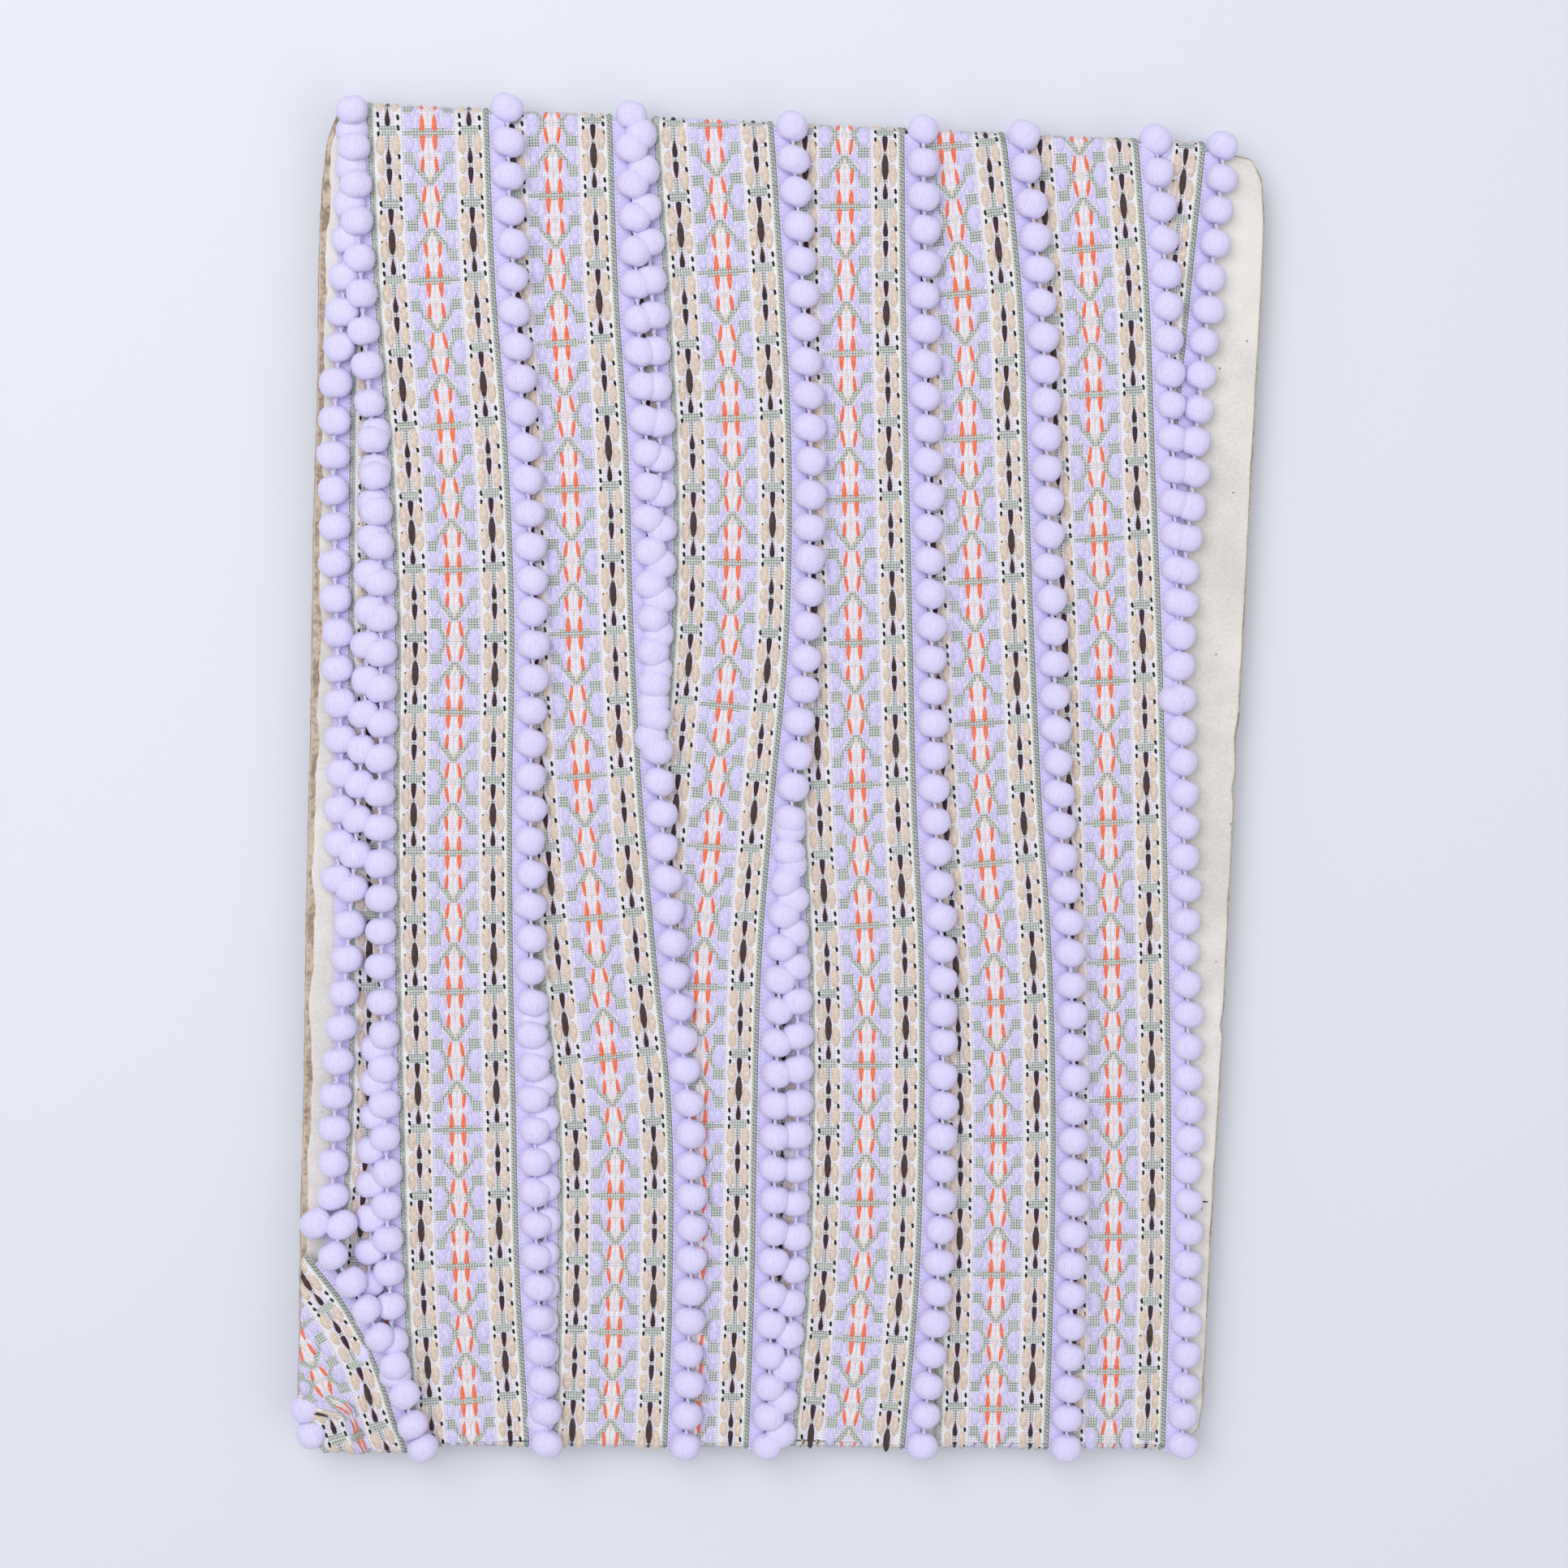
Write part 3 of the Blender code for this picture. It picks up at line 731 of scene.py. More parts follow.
@dataclass(frozen=True)
class Weave:
    """The ribbon's pattern over one repeat: the centre's diamonds and the two borders."""

    band_left: float = -8.75
    band_right: float = 8.85
    lozenge: float = -0.27  # the big lozenge's middle, in repeats below the bar

    def centre(self) -> list[Stitch]:
        """Give the floats of the centre, which mirrors about its line and about the bar."""
        both, across, along = Mirror.BOTH, Mirror.ACROSS, Mirror.ALONG
        chart = [
            Stitch(Yarn.ORANGE, (1.3, 0.008), (1.35, 0.125), 1.25, -1.3, 0.5, both),
            Stitch(Yarn.ORANGE, (1.35, 0.15), (1.6, 0.268), 0.95, 0.3, 0.5, both),
            Stitch(Yarn.ORANGE, (1.05, 0.35), (1.65, 0.478), 0.95, 0.3, 0.5, both),
            Stitch(Yarn.WHITE, (0.55, 0.032), (0.5, 0.16), 0.95, 0.0, 0.45, both),
            Stitch(Yarn.WHITE, (0.5, 0.165), (0.55, 0.305), 0.9, 0.0, 0.45, both),
            Stitch(Yarn.WHITE, (0.45, 0.372), (0.85, 0.49), 1.0, 0.0, 0.45, both),
            Stitch(Yarn.CREAM, (0.0, 0.13), (0.0, 0.19), 0.75, 0.0, 0.55, along),
            Stitch(Yarn.CREAM, (0.0, 0.265), (0.0, 0.335), 0.95, 0.0, 0.5, along),
            Stitch(Yarn.CREAM, (0.0, 0.448), (0.0, 0.552), 0.95, 0.0, 0.5),
            Stitch(Yarn.LILAC, (4.3, 0.015), (4.3, 0.128), 2.5, 0.0, 0.6, both),
            Stitch(Yarn.LILAC, (4.2, 0.205), (4.2, 0.335), 2.35, 0.0, 0.6, both),
            Stitch(Yarn.LILAC, (4.25, 0.408), (4.25, 0.592), 3.0, 0.0, 0.7, across),
            Stitch(Yarn.LILAC, (2.6, 0.022), (2.05, 0.14), 1.0, -0.2, 0.45, both),
            Stitch(Yarn.LILAC, (3.2, 0.09), (2.2, 0.255), 1.15, -0.1, 0.45, both),
            Stitch(Yarn.WHITE, (2.2, 0.12), (1.9, 0.18), 0.5, 0.0, 0.35, both),
            Stitch(Yarn.LILAC, (2.9, 0.285), (1.95, 0.425), 1.15, -0.1, 0.45, both),
            Stitch(Yarn.LILAC, (2.05, 0.31), (1.5, 0.37), 0.7, 0.0, 0.4, both),
            Stitch(Yarn.LILAC, (5.5, 0.135), (5.5, 0.2), 0.55, 0.0, 0.35, both),
            Stitch(Yarn.LILAC, (5.5, 0.34), (5.5, 0.4), 0.55, 0.0, 0.35, both),
        ]
        return [made for stitch in chart for made in stitch.reflected()]

    def border(self, middle: float) -> list[Stitch]:
        """Give the floats of one border band, whose middle lies this far across."""
        rows = [
            (Yarn.BROWN, 0.0, 0.0, -0.095, 0.095, 1.75, 0.0, 0.65),
            (Yarn.PLUM, 0.0, 0.0, 0.108, 0.228, 1.4, 1.3, 0.55),
            (Yarn.PLUM, 0.0, 0.0, 0.362, 0.482, 1.4, 1.3, 0.55),
            (Yarn.PLUM, 0.0, 0.0, 0.5, 0.622, 1.4, -1.3, 0.55),
            (Yarn.PLUM, 0.0, 0.0, 0.772, 0.892, 1.4, -1.3, 0.55),
        ]
        for low, high, width in (
            (0.272, 0.422, 2.15),
            (0.432, 0.552, 1.95),
            (0.562, 0.712, 2.15),
            (0.798, 0.968, 2.15),
            (0.978, 1.138, 2.15),
        ):
            rows.append((Yarn.BEIGE, -1.68, -1.68, low, high, width, 0.0, 0.65))
            rows.append((Yarn.BEIGE, 1.68, 1.68, low, high, width, 0.0, 0.65))
        for wide, tip in ((0.228, 0.1), (0.482, 0.352), (0.5, 0.635), (0.772, 0.905)):
            middle_of = (2 * wide + tip) / 3
            rows.append((Yarn.PINK, -0.85, -0.2, middle_of, tip, 0.4, 0.0, 0.4))
            rows.append((Yarn.PINK, 0.85, 0.2, middle_of, tip, 0.4, 0.0, 0.4))
        made = []
        for yarn, first, last, low, high, width, swell, height in rows:
            start = (middle + first, self.lozenge + low)
            end = (middle + last, self.lozenge + high)
            made.append(Stitch(yarn, start, end, width, swell, height))
        return made

    def dots(self, middle: float) -> list[tuple[float, float]]:
        """Give the black dots beside one border band as (across, repeats below the bar)."""
        left = (-0.255, -0.195, 0.01, 0.155, 0.215, 0.275)
        right = (-0.285, -0.225, -0.162, 0.17, 0.235, 0.425, 0.565)
        places = [(middle - 2.05, self.lozenge + at) for at in left]
        return places + [(middle + 2.25, self.lozenge + at) for at in right]

    def floats(self) -> list[Stitch]:
        """Give the long floats of the middle and of both bands."""
        return self.centre() + self.border(self.band_left) + self.border(self.band_right)

    def picots(self) -> list[Stitch]:
        """Give the white stitches and black dots of the four picot columns."""
        made = []
        count = 30
        for middle in (self.band_left, self.band_right):
            dots = self.dots(middle)
            for column in (middle - 2.05, middle + 2.25):
                beside = [at % 1.0 for x, at in dots if x == column]
                for i in range(count):
                    at = i / count
                    if min(min(abs(at - b), 1 - abs(at - b)) for b in beside) > 0.02:
                        start = (column - 0.1, at - 0.015)
                        made.append(Stitch(Yarn.WHITE, start, (column + 0.1, at + 0.015), 0.6))
                    else:
                        for side in (-0.55, 0.55):
                            start = (column + side, at - 0.014)
                            made.append(Stitch(Yarn.WHITE, start, (column + side, at + 0.014), 0.36))
            for x, at in dots:
                start = (x - 0.08, at - 0.024)
                made.append(Stitch(Yarn.BLACK, start, (x + 0.08, at + 0.024), 0.85, 0.0, 0.42))
        return made

    def seeds(self) -> list[tuple[float, float]]:
        """Give the pale seeds of the grey figures as (across, repeats below the bar)."""
        places: list[tuple[float, float]] = []
        pitch = 0.64
        row = pitch / REPEAT
        for i in range(-8, 9):
            x = i * 0.68
            if abs(abs(x) - 1.2) > 0.4:
                places.append((x, 0.0))
            if 1.8 < abs(x) < 3.2:
                places += [(x + 0.3, row), (x - 0.3, -row)]
        for side in (-1, 1):
            for height in (0.168, 0.375, -0.168, -0.375):
                for i in range(4):
                    for j in (-1, 0, 1):
                        x = 3.2 + i * pitch + (0.3 if j else 0.0)
                        places.append((side * x, height + j * row))
            for way in (-1, 1):
                for i in range(7):
                    t = i / 6.5
                    x, at = 3.3 * (1 - t), 0.205 + 0.135 * t
                    places.append((side * x, way * at))
                    places.append((side * (x + 0.55), way * (at + 0.01)))
                for i in range(5):
                    t = i / 5
                    x, at = 3.3 - 1.3 * t, 0.395 + 0.09 * t
                    places.append((side * x, way * at))
                    places.append((side * (x + 0.55), way * (at + 0.008)))
            places.append((side * 2.0, 0.5))
            places.append((side * 2.6, 0.5))
        for middle in (self.band_left, self.band_right):
            for at in (-0.258, 0.258):
                for i in range(-3, 4):
                    for j in (-1, 0, 1):
                        x = i * 0.6 + (0.3 if j else 0.0)
                        places.append((middle + x, self.lozenge + at + j * row))
        return places


class Detail(Enum):
    """How finely a float is modelled: rings along it and points across it."""

    FINE = (5, 5)
    MIDDLE = (4, 4)
    PLAIN = (2, 3)
    SMALL = (1, 3)


class Needle:
    """Lays floats on a surface."""

    def __init__(self, surface: Surface, pile: MeshPile) -> None:
        """Work on this surface, into this pile."""
        self.surface = surface
        self.pile = pile

    def lay(
        self, start: Array, end: Array, width: Array, swell: Array, height: Array,
        detail: Detail, finish: int,
    ) -> None:
        """Lay a float for each row: a raised petal that narrows to both ends.

        Args:
            start: across and along of each float's start
            end: the same of its end
            width: its greatest width
            swell: -1 where it is widest at its start, 1 at its end
            height: how far it stands off the surface
            detail: how finely it is modelled
            finish: the number of its finish
        """
        if not len(start):
            return
        rings, points = detail.value
        spread = 0.5 - 0.5 * np.cos(math.pi * np.arange(1, rings + 1) / (rings + 1))
        tau = np.concatenate([[0.0], np.repeat(spread, points), [1.0]])
        omega = np.concatenate([[0.0], np.tile(np.linspace(-1.0, 1.0, points), rings), [0.0]])
        skewed = np.clip(tau, 1e-6, 1 - 1e-6) ** (2.0 ** swell[:, None])
        shape = np.sin(math.pi * skewed) ** 0.42
        shape[:, 0] = shape[:, -1] = 0.0
        run = end - start
        across = start[:, :1] + run[:, :1] * tau + omega * shape * width[:, None] / 2
        along = start[:, 1:] + run[:, 1:] * tau
        dome = np.sqrt(np.maximum(1 - omega**2, 0.0)) * np.clip(np.sin(math.pi * tau) * 2.2, 0.0, 1.0)
        off = height[:, None] * dome - 0.08
        placed = raised(self.surface, across, along, off)
        length = np.abs(run[:, 1:])
        marks = np.stack([across - start[:, :1], tau * length + start[:, 1:]], axis=-1)
        last = 1 + rings * points
        ends = []
        for j in range(points - 1):
            ends.append((0, 2 + j, 1 + j))
            ends.append((last, last - points + j, last - points + j + 1))
        quads = grid_faces(rings, points) + 1 if rings > 1 else np.zeros((0, 4), int)
        forward = run[:, 1] > 0
        for keep, turned in ((forward, False), (~forward, True)):
            if not keep.any():
                continue
            tris, squares = np.array(ends), quads
            if turned:
                squares = squares[:, ::-1]
            else:
                tris = tris[:, ::-1]
            tris = tris[:, ::-1]
            here = self.pile.count
            self.pile.add(placed[keep], tris, marks[keep], finish)
            if len(squares):
                starts = here + placed.shape[1] * np.arange(int(keep.sum()))
                corners = (squares[None] + starts[:, None, None]).reshape(-1, 4)
                self.pile.faces.append((corners, finish))


class Builder:
    """Keeps the shared materials, made once."""

    def __init__(self) -> None:
        """Make every finish."""
        self.floats = [FLOAT_FINISHES[yarn].material() for yarn in Yarn]
        self.ground = GroundFinish().material()
        self.pile = POMPOM_FINISH.material()
        self.tape = TAPE_FINISH.material()
        self.neck = NECK_FINISH.material()
        self.sewing = SEWING_FINISH.material()
        self.face = BoardFinish().material()
        self.core = KraftFinish().material()


@dataclass
class WovenRibbon:
    """Lays the cloth, its floats and its selvedges on one surface."""

    surface: Surface
    along_of: Callable[[Array], Array]
    repeats_of: Callable[[Array], Array]
    weave: Weave = field(default_factory=Weave)
    columns: int = 15
    row_step: float = 4.0
    selvedge_pitch: float = 0.92
    loop_pitch: float = 0.98

    def cloth(
        self, pile: MeshPile, start: float, stop: float, folds: Sequence[float] = (),
        span: tuple[float, float] = (-BAND_HALF, BAND_HALF),
    ) -> None:
        """Lay the ground cloth between two lengths.

        Args:
            pile: where it goes
            start: its first length along
            stop: its last
            folds: where folds begin, which need closer rows
            span: its first and last place across
        """
        rows = list(np.linspace(start, stop, int((stop - start) / self.row_step) + 2))
        for fold in folds:
            rows += list(np.linspace(fold, fold + FOLD_LENGTH, 13))
        rows = np.unique(np.clip(rows, start, stop))
        across, along = np.meshgrid(np.linspace(*span, self.columns), rows)
        points = self.surface(across, along).reshape(-1, 3)
        marks = np.stack([across, self.repeats_of(along)], axis=-1).reshape(-1, 2)
        pile.add(points, grid_faces(len(rows), self.columns), marks)

    def whole_repeats(self, start: float, stop: float) -> Array:
        """Give the bars' counts from before start to after stop."""
        low, high = self.repeats_of(np.array([start, stop], float))
        return np.arange(math.floor(low) - 1, math.ceil(high) + 2)

    def stitch(
        self, pile: MeshPile, stitches: Sequence[Stitch], start: float, stop: float,
        detail: Callable[[Stitch], Detail], keep: Callable[[Array, Array], Array],
    ) -> None:
        """Lay every stitch of the chart in every repeat between two lengths.

        Args:
            pile: where they go
            stitches: the chart
            start: the first length along
            stop: the last
            detail: how finely each is modelled
            keep: which of the places, given across and along, are wanted
        """
        bars = self.whole_repeats(start, stop)
        needle = Needle(self.surface, pile)
        groups: dict[tuple[Yarn, Detail], list[Stitch]] = {}
        for stitch in stitches:
            groups.setdefault((stitch.yarn, detail(stitch)), []).append(stitch)
        for (yarn, fineness), group in groups.items():
            begin = np.array([s.start for s in group])
            finish = np.array([s.end for s in group])
            sizes = np.array([(s.width, s.swell, s.height) for s in group])
            begin = np.repeat(begin[None], len(bars), 0)
            finish = np.repeat(finish[None], len(bars), 0)
            begin[..., 1] = self.along_of(bars[:, None] - begin[..., 1])
            finish[..., 1] = self.along_of(bars[:, None] - finish[..., 1])
            begin, finish = begin.reshape(-1, 2), finish.reshape(-1, 2)
            sizes = np.tile(sizes, (len(bars), 1))
            middle = (begin + finish) / 2
            wanted = (middle[:, 1] >= start) & (middle[:, 1] < stop)
            wanted &= keep(middle[:, 0], middle[:, 1])
            sizes = sizes[wanted]
            needle.lay(
                begin[wanted], finish[wanted], sizes[:, 0], sizes[:, 1], sizes[:, 2],
                fineness, yarn.value,
            )

    def selvedge(
        self, pile: MeshPile, start: float, stop: float, keep: Callable[[Array, Array], Array],
        plain: bool = False,
    ) -> None:
        """Lay the slanting cord of the right selvedge and the chain loops of the left one.

        Args:
            pile: where they go
            start: the first length along
            stop: the last
            keep: which of the places are wanted
            plain: whether to leave every second stitch out and keep the loops simple
        """
        needle = Needle(self.surface, pile)
        pitch = self.selvedge_pitch * (2 if plain else 1)
        along = np.arange(start, stop, pitch)
        ones = np.ones_like(along)
        for yarn, shift in ((Yarn.GREY, 0.0), (Yarn.PALE_GREY, pitch / 2)):
            begin = np.stack([11.9 * ones, along + shift + 0.5], axis=1)
            finish = np.stack([13.2 * ones, along + shift - 0.5], axis=1)
            wanted = keep(begin[:, 0], along)
            size = ones[wanted]
            needle.lay(
                begin[wanted], finish[wanted], 0.5 * size, 0 * size, 0.5 * size,
                Detail.SMALL if plain else Detail.PLAIN, yarn.value,
            )
        pitch = self.loop_pitch * (2 if plain else 1)
        along = np.arange(start, stop, pitch)
        along = along[keep(-12.6 + 0 * along, along)]
        ones = np.ones_like(along)
        if plain:
            begin = np.stack([-12.5 * ones, along + 0.6], axis=1)
            finish = np.stack([-12.5 * ones, along - 0.6], axis=1)
            needle.lay(begin, finish, ones, 0 * ones, 0.4 * ones, Detail.SMALL, Yarn.PALE_GREY.value)
            return
        corners = 6
        turn = np.linspace(0.0, 2 * math.pi, corners, endpoint=False)
        rings = ((0.72, -0.05), (0.5, 0.42), (0.24, 0.0))
        across = np.concatenate([-12.5 + size * np.cos(turn) for size, _ in rings])
        onward = np.concatenate([size * 0.72 * np.sin(turn) for size, _ in rings])
        off = np.concatenate([np.full(corners, height) for _, height in rings])
        spots = np.broadcast_to(across, (len(along), len(across)))
        lengths = along[:, None] + onward
        points = raised(self.surface, spots, lengths, np.broadcast_to(off, spots.shape))
        marks = np.stack([spots, lengths], axis=-1)
        faces = []
        for ring in range(2):
            for i in range(corners):
                j = (i + 1) % corners
                inner = (ring + 1) * corners
                faces.append((ring * corners + i, ring * corners + j, inner + j, inner + i))
        pile.add(points, np.array(faces), marks, Yarn.PALE_GREY.value)


@dataclass
class Winding:
    """The whole winding: seven turns, the turn below them, their floats and selvedges."""

    weave: Weave = field(default_factory=Weave)

    def turns(self) -> dict[str, Turn]:
        """Give every turn, each with the place where it arrives at the next one's foot."""
        charts = {
            "under": ((-85.7, -83.6, -82.0, -82.3, -83.2, -84.0, -84.5, -84.6, -84.5), 146.4, -108.0),
            "1": ((-65.5, -68.6, -70.4, -72.1, -73.2, -73.7, -76.1, -79.8, -82.2), 144.7, -139.2),
            "2": ((-33.8, -33.8, -35.1, -39.9, -44.2, -47.2, -49.5, -52.9, -55.3), 132.6, -123.1),
            "3": ((-15.0, -15.0, -15.7, -16.0, -14.5, -12.5, -13.2, -16.2, -19.9), 149.6, -138.6),
            "4": ((21.3, 23.0, 22.7, 21.1, 17.9, 15.5, 13.1, 10.9, 9.1), 133.0, -124.3),
            "5": ((55.1, 54.5, 53.3, 50.7, 46.6, 43.2, 40.1, 37.1, 31.6), 147.0, -140.7),
            "6": ((82.7, 81.8, 80.3, 77.9, 75.3, 72.5, 69.1, 65.9, 61.5), 126.1, -131.6),
            "7": ((70.0, 70.0, 70.0, 70.2, 71.0, 72.2, 73.4, 75.0, 77.0), 133.6, -120.8),
        }
        made: dict[str, Turn] = {}
        before = ("under", -85.7, -108.0)
        for name, (centres, highest, lowest) in charts.items():
            base, lift = {"1": (2.1, 0.8), "7": (0.8, 0.3), "under": (0.8, 0.1)}.get(name, (0.8, 1.6))
            made[name] = Turn(
                name, centres, highest, lowest, base, lift,
                arrives=before[1], next_bar=before[2],
            )
            before = (name, centres[0], lowest)
        return made

    def build(self, builder: Builder) -> dict[str, Turn]:
        """Build the cloth and the stitches of every turn.

        Args:
            builder: the shared materials

        Returns:
            The turns, by name.
        """
        turns = self.turns()
        ground = MeshPile()
        stop = TURN_LENGTH - END
        for name, turn in turns.items():
            ribbon = WovenRibbon(turn.place, turn.along_of, turn.repeats_of, self.weave)
            last = END if name == "under" else stop
            ribbon.cloth(ground, -END, last, (END, 3 * END + FOLD_LENGTH))
            keep = self.shown(name, turns)
            self.front_stitches(name, ribbon, keep, builder)
            if name != "under":
                self.back_stitches(name, ribbon, builder)
        for left, right, start, end in (("2", "3", 0.0, END), ("3", "4", -END, -5.0)):
            self.beneath(turns[left], turns[right], start, end, ground, builder)
        cloth = ground.make("ribbon_cloth", [builder.ground])
        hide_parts("ribbon_winding")
        return turns

    def beneath(
        self, left: Turn, right: Turn, start: float, end: float, ground: MeshPile, builder: Builder
    ) -> bpy.types.Object:
        """Lay the border of the first layer's turn that shows in the gap between two turns.

        Args:
            left: the turn on the gap's left
            right: the turn on its right
            start: the gap's foot
            end: its top
            ground: where the cloth goes
            builder: the shared materials

        Returns:
            The piece with its floats.
        """
        knots = np.array(HEIGHTS)
        centres = (left.centre(knots) + right.centre(knots)) / 2 - self.weave.band_right
        lower = Turn(f"beneath_{right.name}", tuple(centres), 138.0, -117.0, 0.45, 0.1)
        ribbon = WovenRibbon(lower.place, lower.along_of, lower.repeats_of, self.weave, columns=6)
        ribbon.cloth(ground, start, end, span=(3.0, BAND_HALF))

        def seen(across: Array, along: Array) -> Array:
            """Whether the places lie in the gap."""
            x = lower.centre(along) + across
            after_left = x > left.centre(along) + BAND_HALF - 2.0
            return after_left & (x < right.centre(along) - BAND_HALF)

        pile = MeshPile()
        stitches = self.weave.border(self.weave.band_right)
        ribbon.stitch(pile, stitches, start, end, lambda _: Detail.PLAIN, seen)
        return pile.make(f"stitches_{lower.name}", builder.floats)

    def shown(self, name: str, turns: dict[str, Turn]) -> Callable[[Array, Array], Array]:
        """Give a test of which places of a turn's front can be seen.

        Args:
            name: the turn
            turns: all turns

        Returns:
            A test of places across and along.
        """
        turn = turns[name]
        above = {"under": "1", "7": "6"}.get(name)

        def seen(across: Array, along: Array) -> Array:
            """Whether the places are clear of the turn that lies over them."""
            if above is None:
                return np.ones(across.shape, bool)
            other = turns[above]
            x = turn.centre(along) + across
            if name == "under":
                return x < other.centre(along) - BAND_HALF + 2.0
            return x > other.centre(along) + BAND_HALF - 2.0

        return seen

    def front_stitches(
        self, name: str, ribbon: WovenRibbon, keep: Callable[[Array, Array], Array],
        builder: Builder,
    ) -> bpy.types.Object:
        """Stitch one turn's front and the fold above it.

        Args:
            name: the turn
            ribbon: the ribbon on its surface
            keep: which places can be seen
            builder: the shared materials

        Returns:
            The piece with its floats, dots, seeds and selvedges.
        """
        pile = MeshPile()
        start, stop = -END, END + (0.0 if name == "under" else FOLD_LENGTH / 2)
        floats = self.weave.floats()

        def fineness(stitch: Stitch) -> Detail:
            """Model wide floats finely and the slim ones less so."""
            if stitch.width > 2.0:
                return Detail.FINE
            return Detail.MIDDLE if stitch.width > 0.6 else Detail.PLAIN

        ribbon.stitch(pile, floats, start, stop, fineness, keep)
        ribbon.stitch(pile, self.weave.picots(), start, stop, self.dot_detail, keep)
        self.seed(pile, ribbon, start, stop, keep, Detail.SMALL)
        ribbon.selvedge(pile, start, stop, keep)
        return pile.make(f"stitches_{name}", builder.floats)

    def dot_detail(self, stitch: Stitch) -> Detail:
        """Model the black dots plainly and the white picots as the smallest form."""
        return Detail.PLAIN if stitch.yarn is Yarn.BLACK else Detail.SMALL

    def back_stitches(self, name: str, ribbon: WovenRibbon, builder: Builder) -> bpy.types.Object:
        """Stitch one turn's back, more plainly, as it lies on the surface below.

        Args:
            name: the turn
            ribbon: the ribbon on its surface
            builder: the shared materials

        Returns:
            The piece.
        """
        pile = MeshPile()
        start, stop = END + FOLD_LENGTH / 2, TURN_LENGTH - END
        floats = self.weave.floats()
        floats = [stitch for stitch in floats if stitch.yarn is not Yarn.PINK]
        floats += [stitch for stitch in self.weave.picots() if stitch.yarn is Yarn.BLACK]

        def everywhere(across: Array, along: Array) -> Array:
            """Keep every place."""
            return np.ones(across.shape, bool)

        def fineness(stitch: Stitch) -> Detail:
            """Model every float plainly, and the dots as the smallest."""
            return Detail.SMALL if stitch.yarn is Yarn.BLACK else Detail.PLAIN

        ribbon.stitch(pile, floats, start, stop, fineness, everywhere)
        self.seed(pile, ribbon, start, stop, everywhere, Detail.SMALL)
        ribbon.selvedge(pile, start, stop, everywhere, plain=True)
        return pile.make(f"stitches_{name}_back", builder.floats)

    def seed(
        self, pile: MeshPile, ribbon: WovenRibbon, start: float, stop: float,
        keep: Callable[[Array, Array], Array], detail: Detail,
    ) -> None:
        """Lay the pale seeds of the grey figures.

        Args:
            pile: where they go
            ribbon: the ribbon on its surface
            start: the first length along
            stop: the last
            keep: which places are wanted
            detail: how finely they are modelled
        """
        half = 0.3 / REPEAT
        seeds = [
            Stitch(Yarn.PALE_GREY, (x, at - half), (x, at + half), 0.52, 0.0, 0.34)
            for x, at in self.weave.seeds()
        ]
        ribbon.stitch(pile, seeds, start, stop, lambda _: detail, keep)


@dataclass(frozen=True)
class BallForm:
    """A pompom: yarn tied at two poles along the row and puffed out between them."""

    half_width: float = 3.6
    half_length: float = 3.35
    half_height: float = 2.7
    meridians: int = 18
    parallels: int = 9
    dimple: float = 0.14

    def points(self, count: int, seed: int) -> tuple[Array, Array]:
        """Shape count pompoms about the origin, their poles along Y.

        Args:
            count: how many
            seed: the seed of their unevenness

        Returns:
            The points of each, and the map that goes with them.
        """
        chance = np.random.default_rng(seed)
        latitude = np.linspace(0.0, math.pi, self.parallels + 1)
        longitude = np.linspace(0.0, 2 * math.pi, self.meridians + 1)
        lat, lon = (grid.ravel() for grid in np.meshgrid(latitude, longitude, indexing="ij"))
        phases = chance.uniform(0, 2 * math.pi, (count, 4, 1))
        lumps = 0.035 * np.sin(3 * lon + phases[:, 0]) * np.sin(2 * lat + phases[:, 1])
        lumps += 0.02 * np.sin(5 * lon + 2 * lat + phases[:, 2])
        lumps += 0.014 * np.sin(10 * lon + phases[:, 3])
        radius = 1.0 + lumps * np.sin(lat)
        waist = np.sin(lat) ** 0.86
        pole = np.cos(lat) * (1 - self.dimple * np.exp(-((np.sin(lat) / 0.3) ** 2)))
        shapes = np.stack(
            [
                -self.half_width * radius * waist * np.sin(lon),
                self.half_length * radius * pole,
                -self.half_height * radius * waist * np.cos(lon),
            ],
            axis=-1,
        )
        around = lon[None] / (2 * math.pi) * 8 + 9.7 * np.arange(count)[:, None]
        marks = np.stack([around, np.broadcast_to(lat, around.shape)], axis=-1)
        return shapes, marks

    def faces(self) -> Array:
        """Give one pompom's faces, turned outwards."""
        return grid_faces(self.parallels + 1, self.meridians + 1)[:, ::-1]


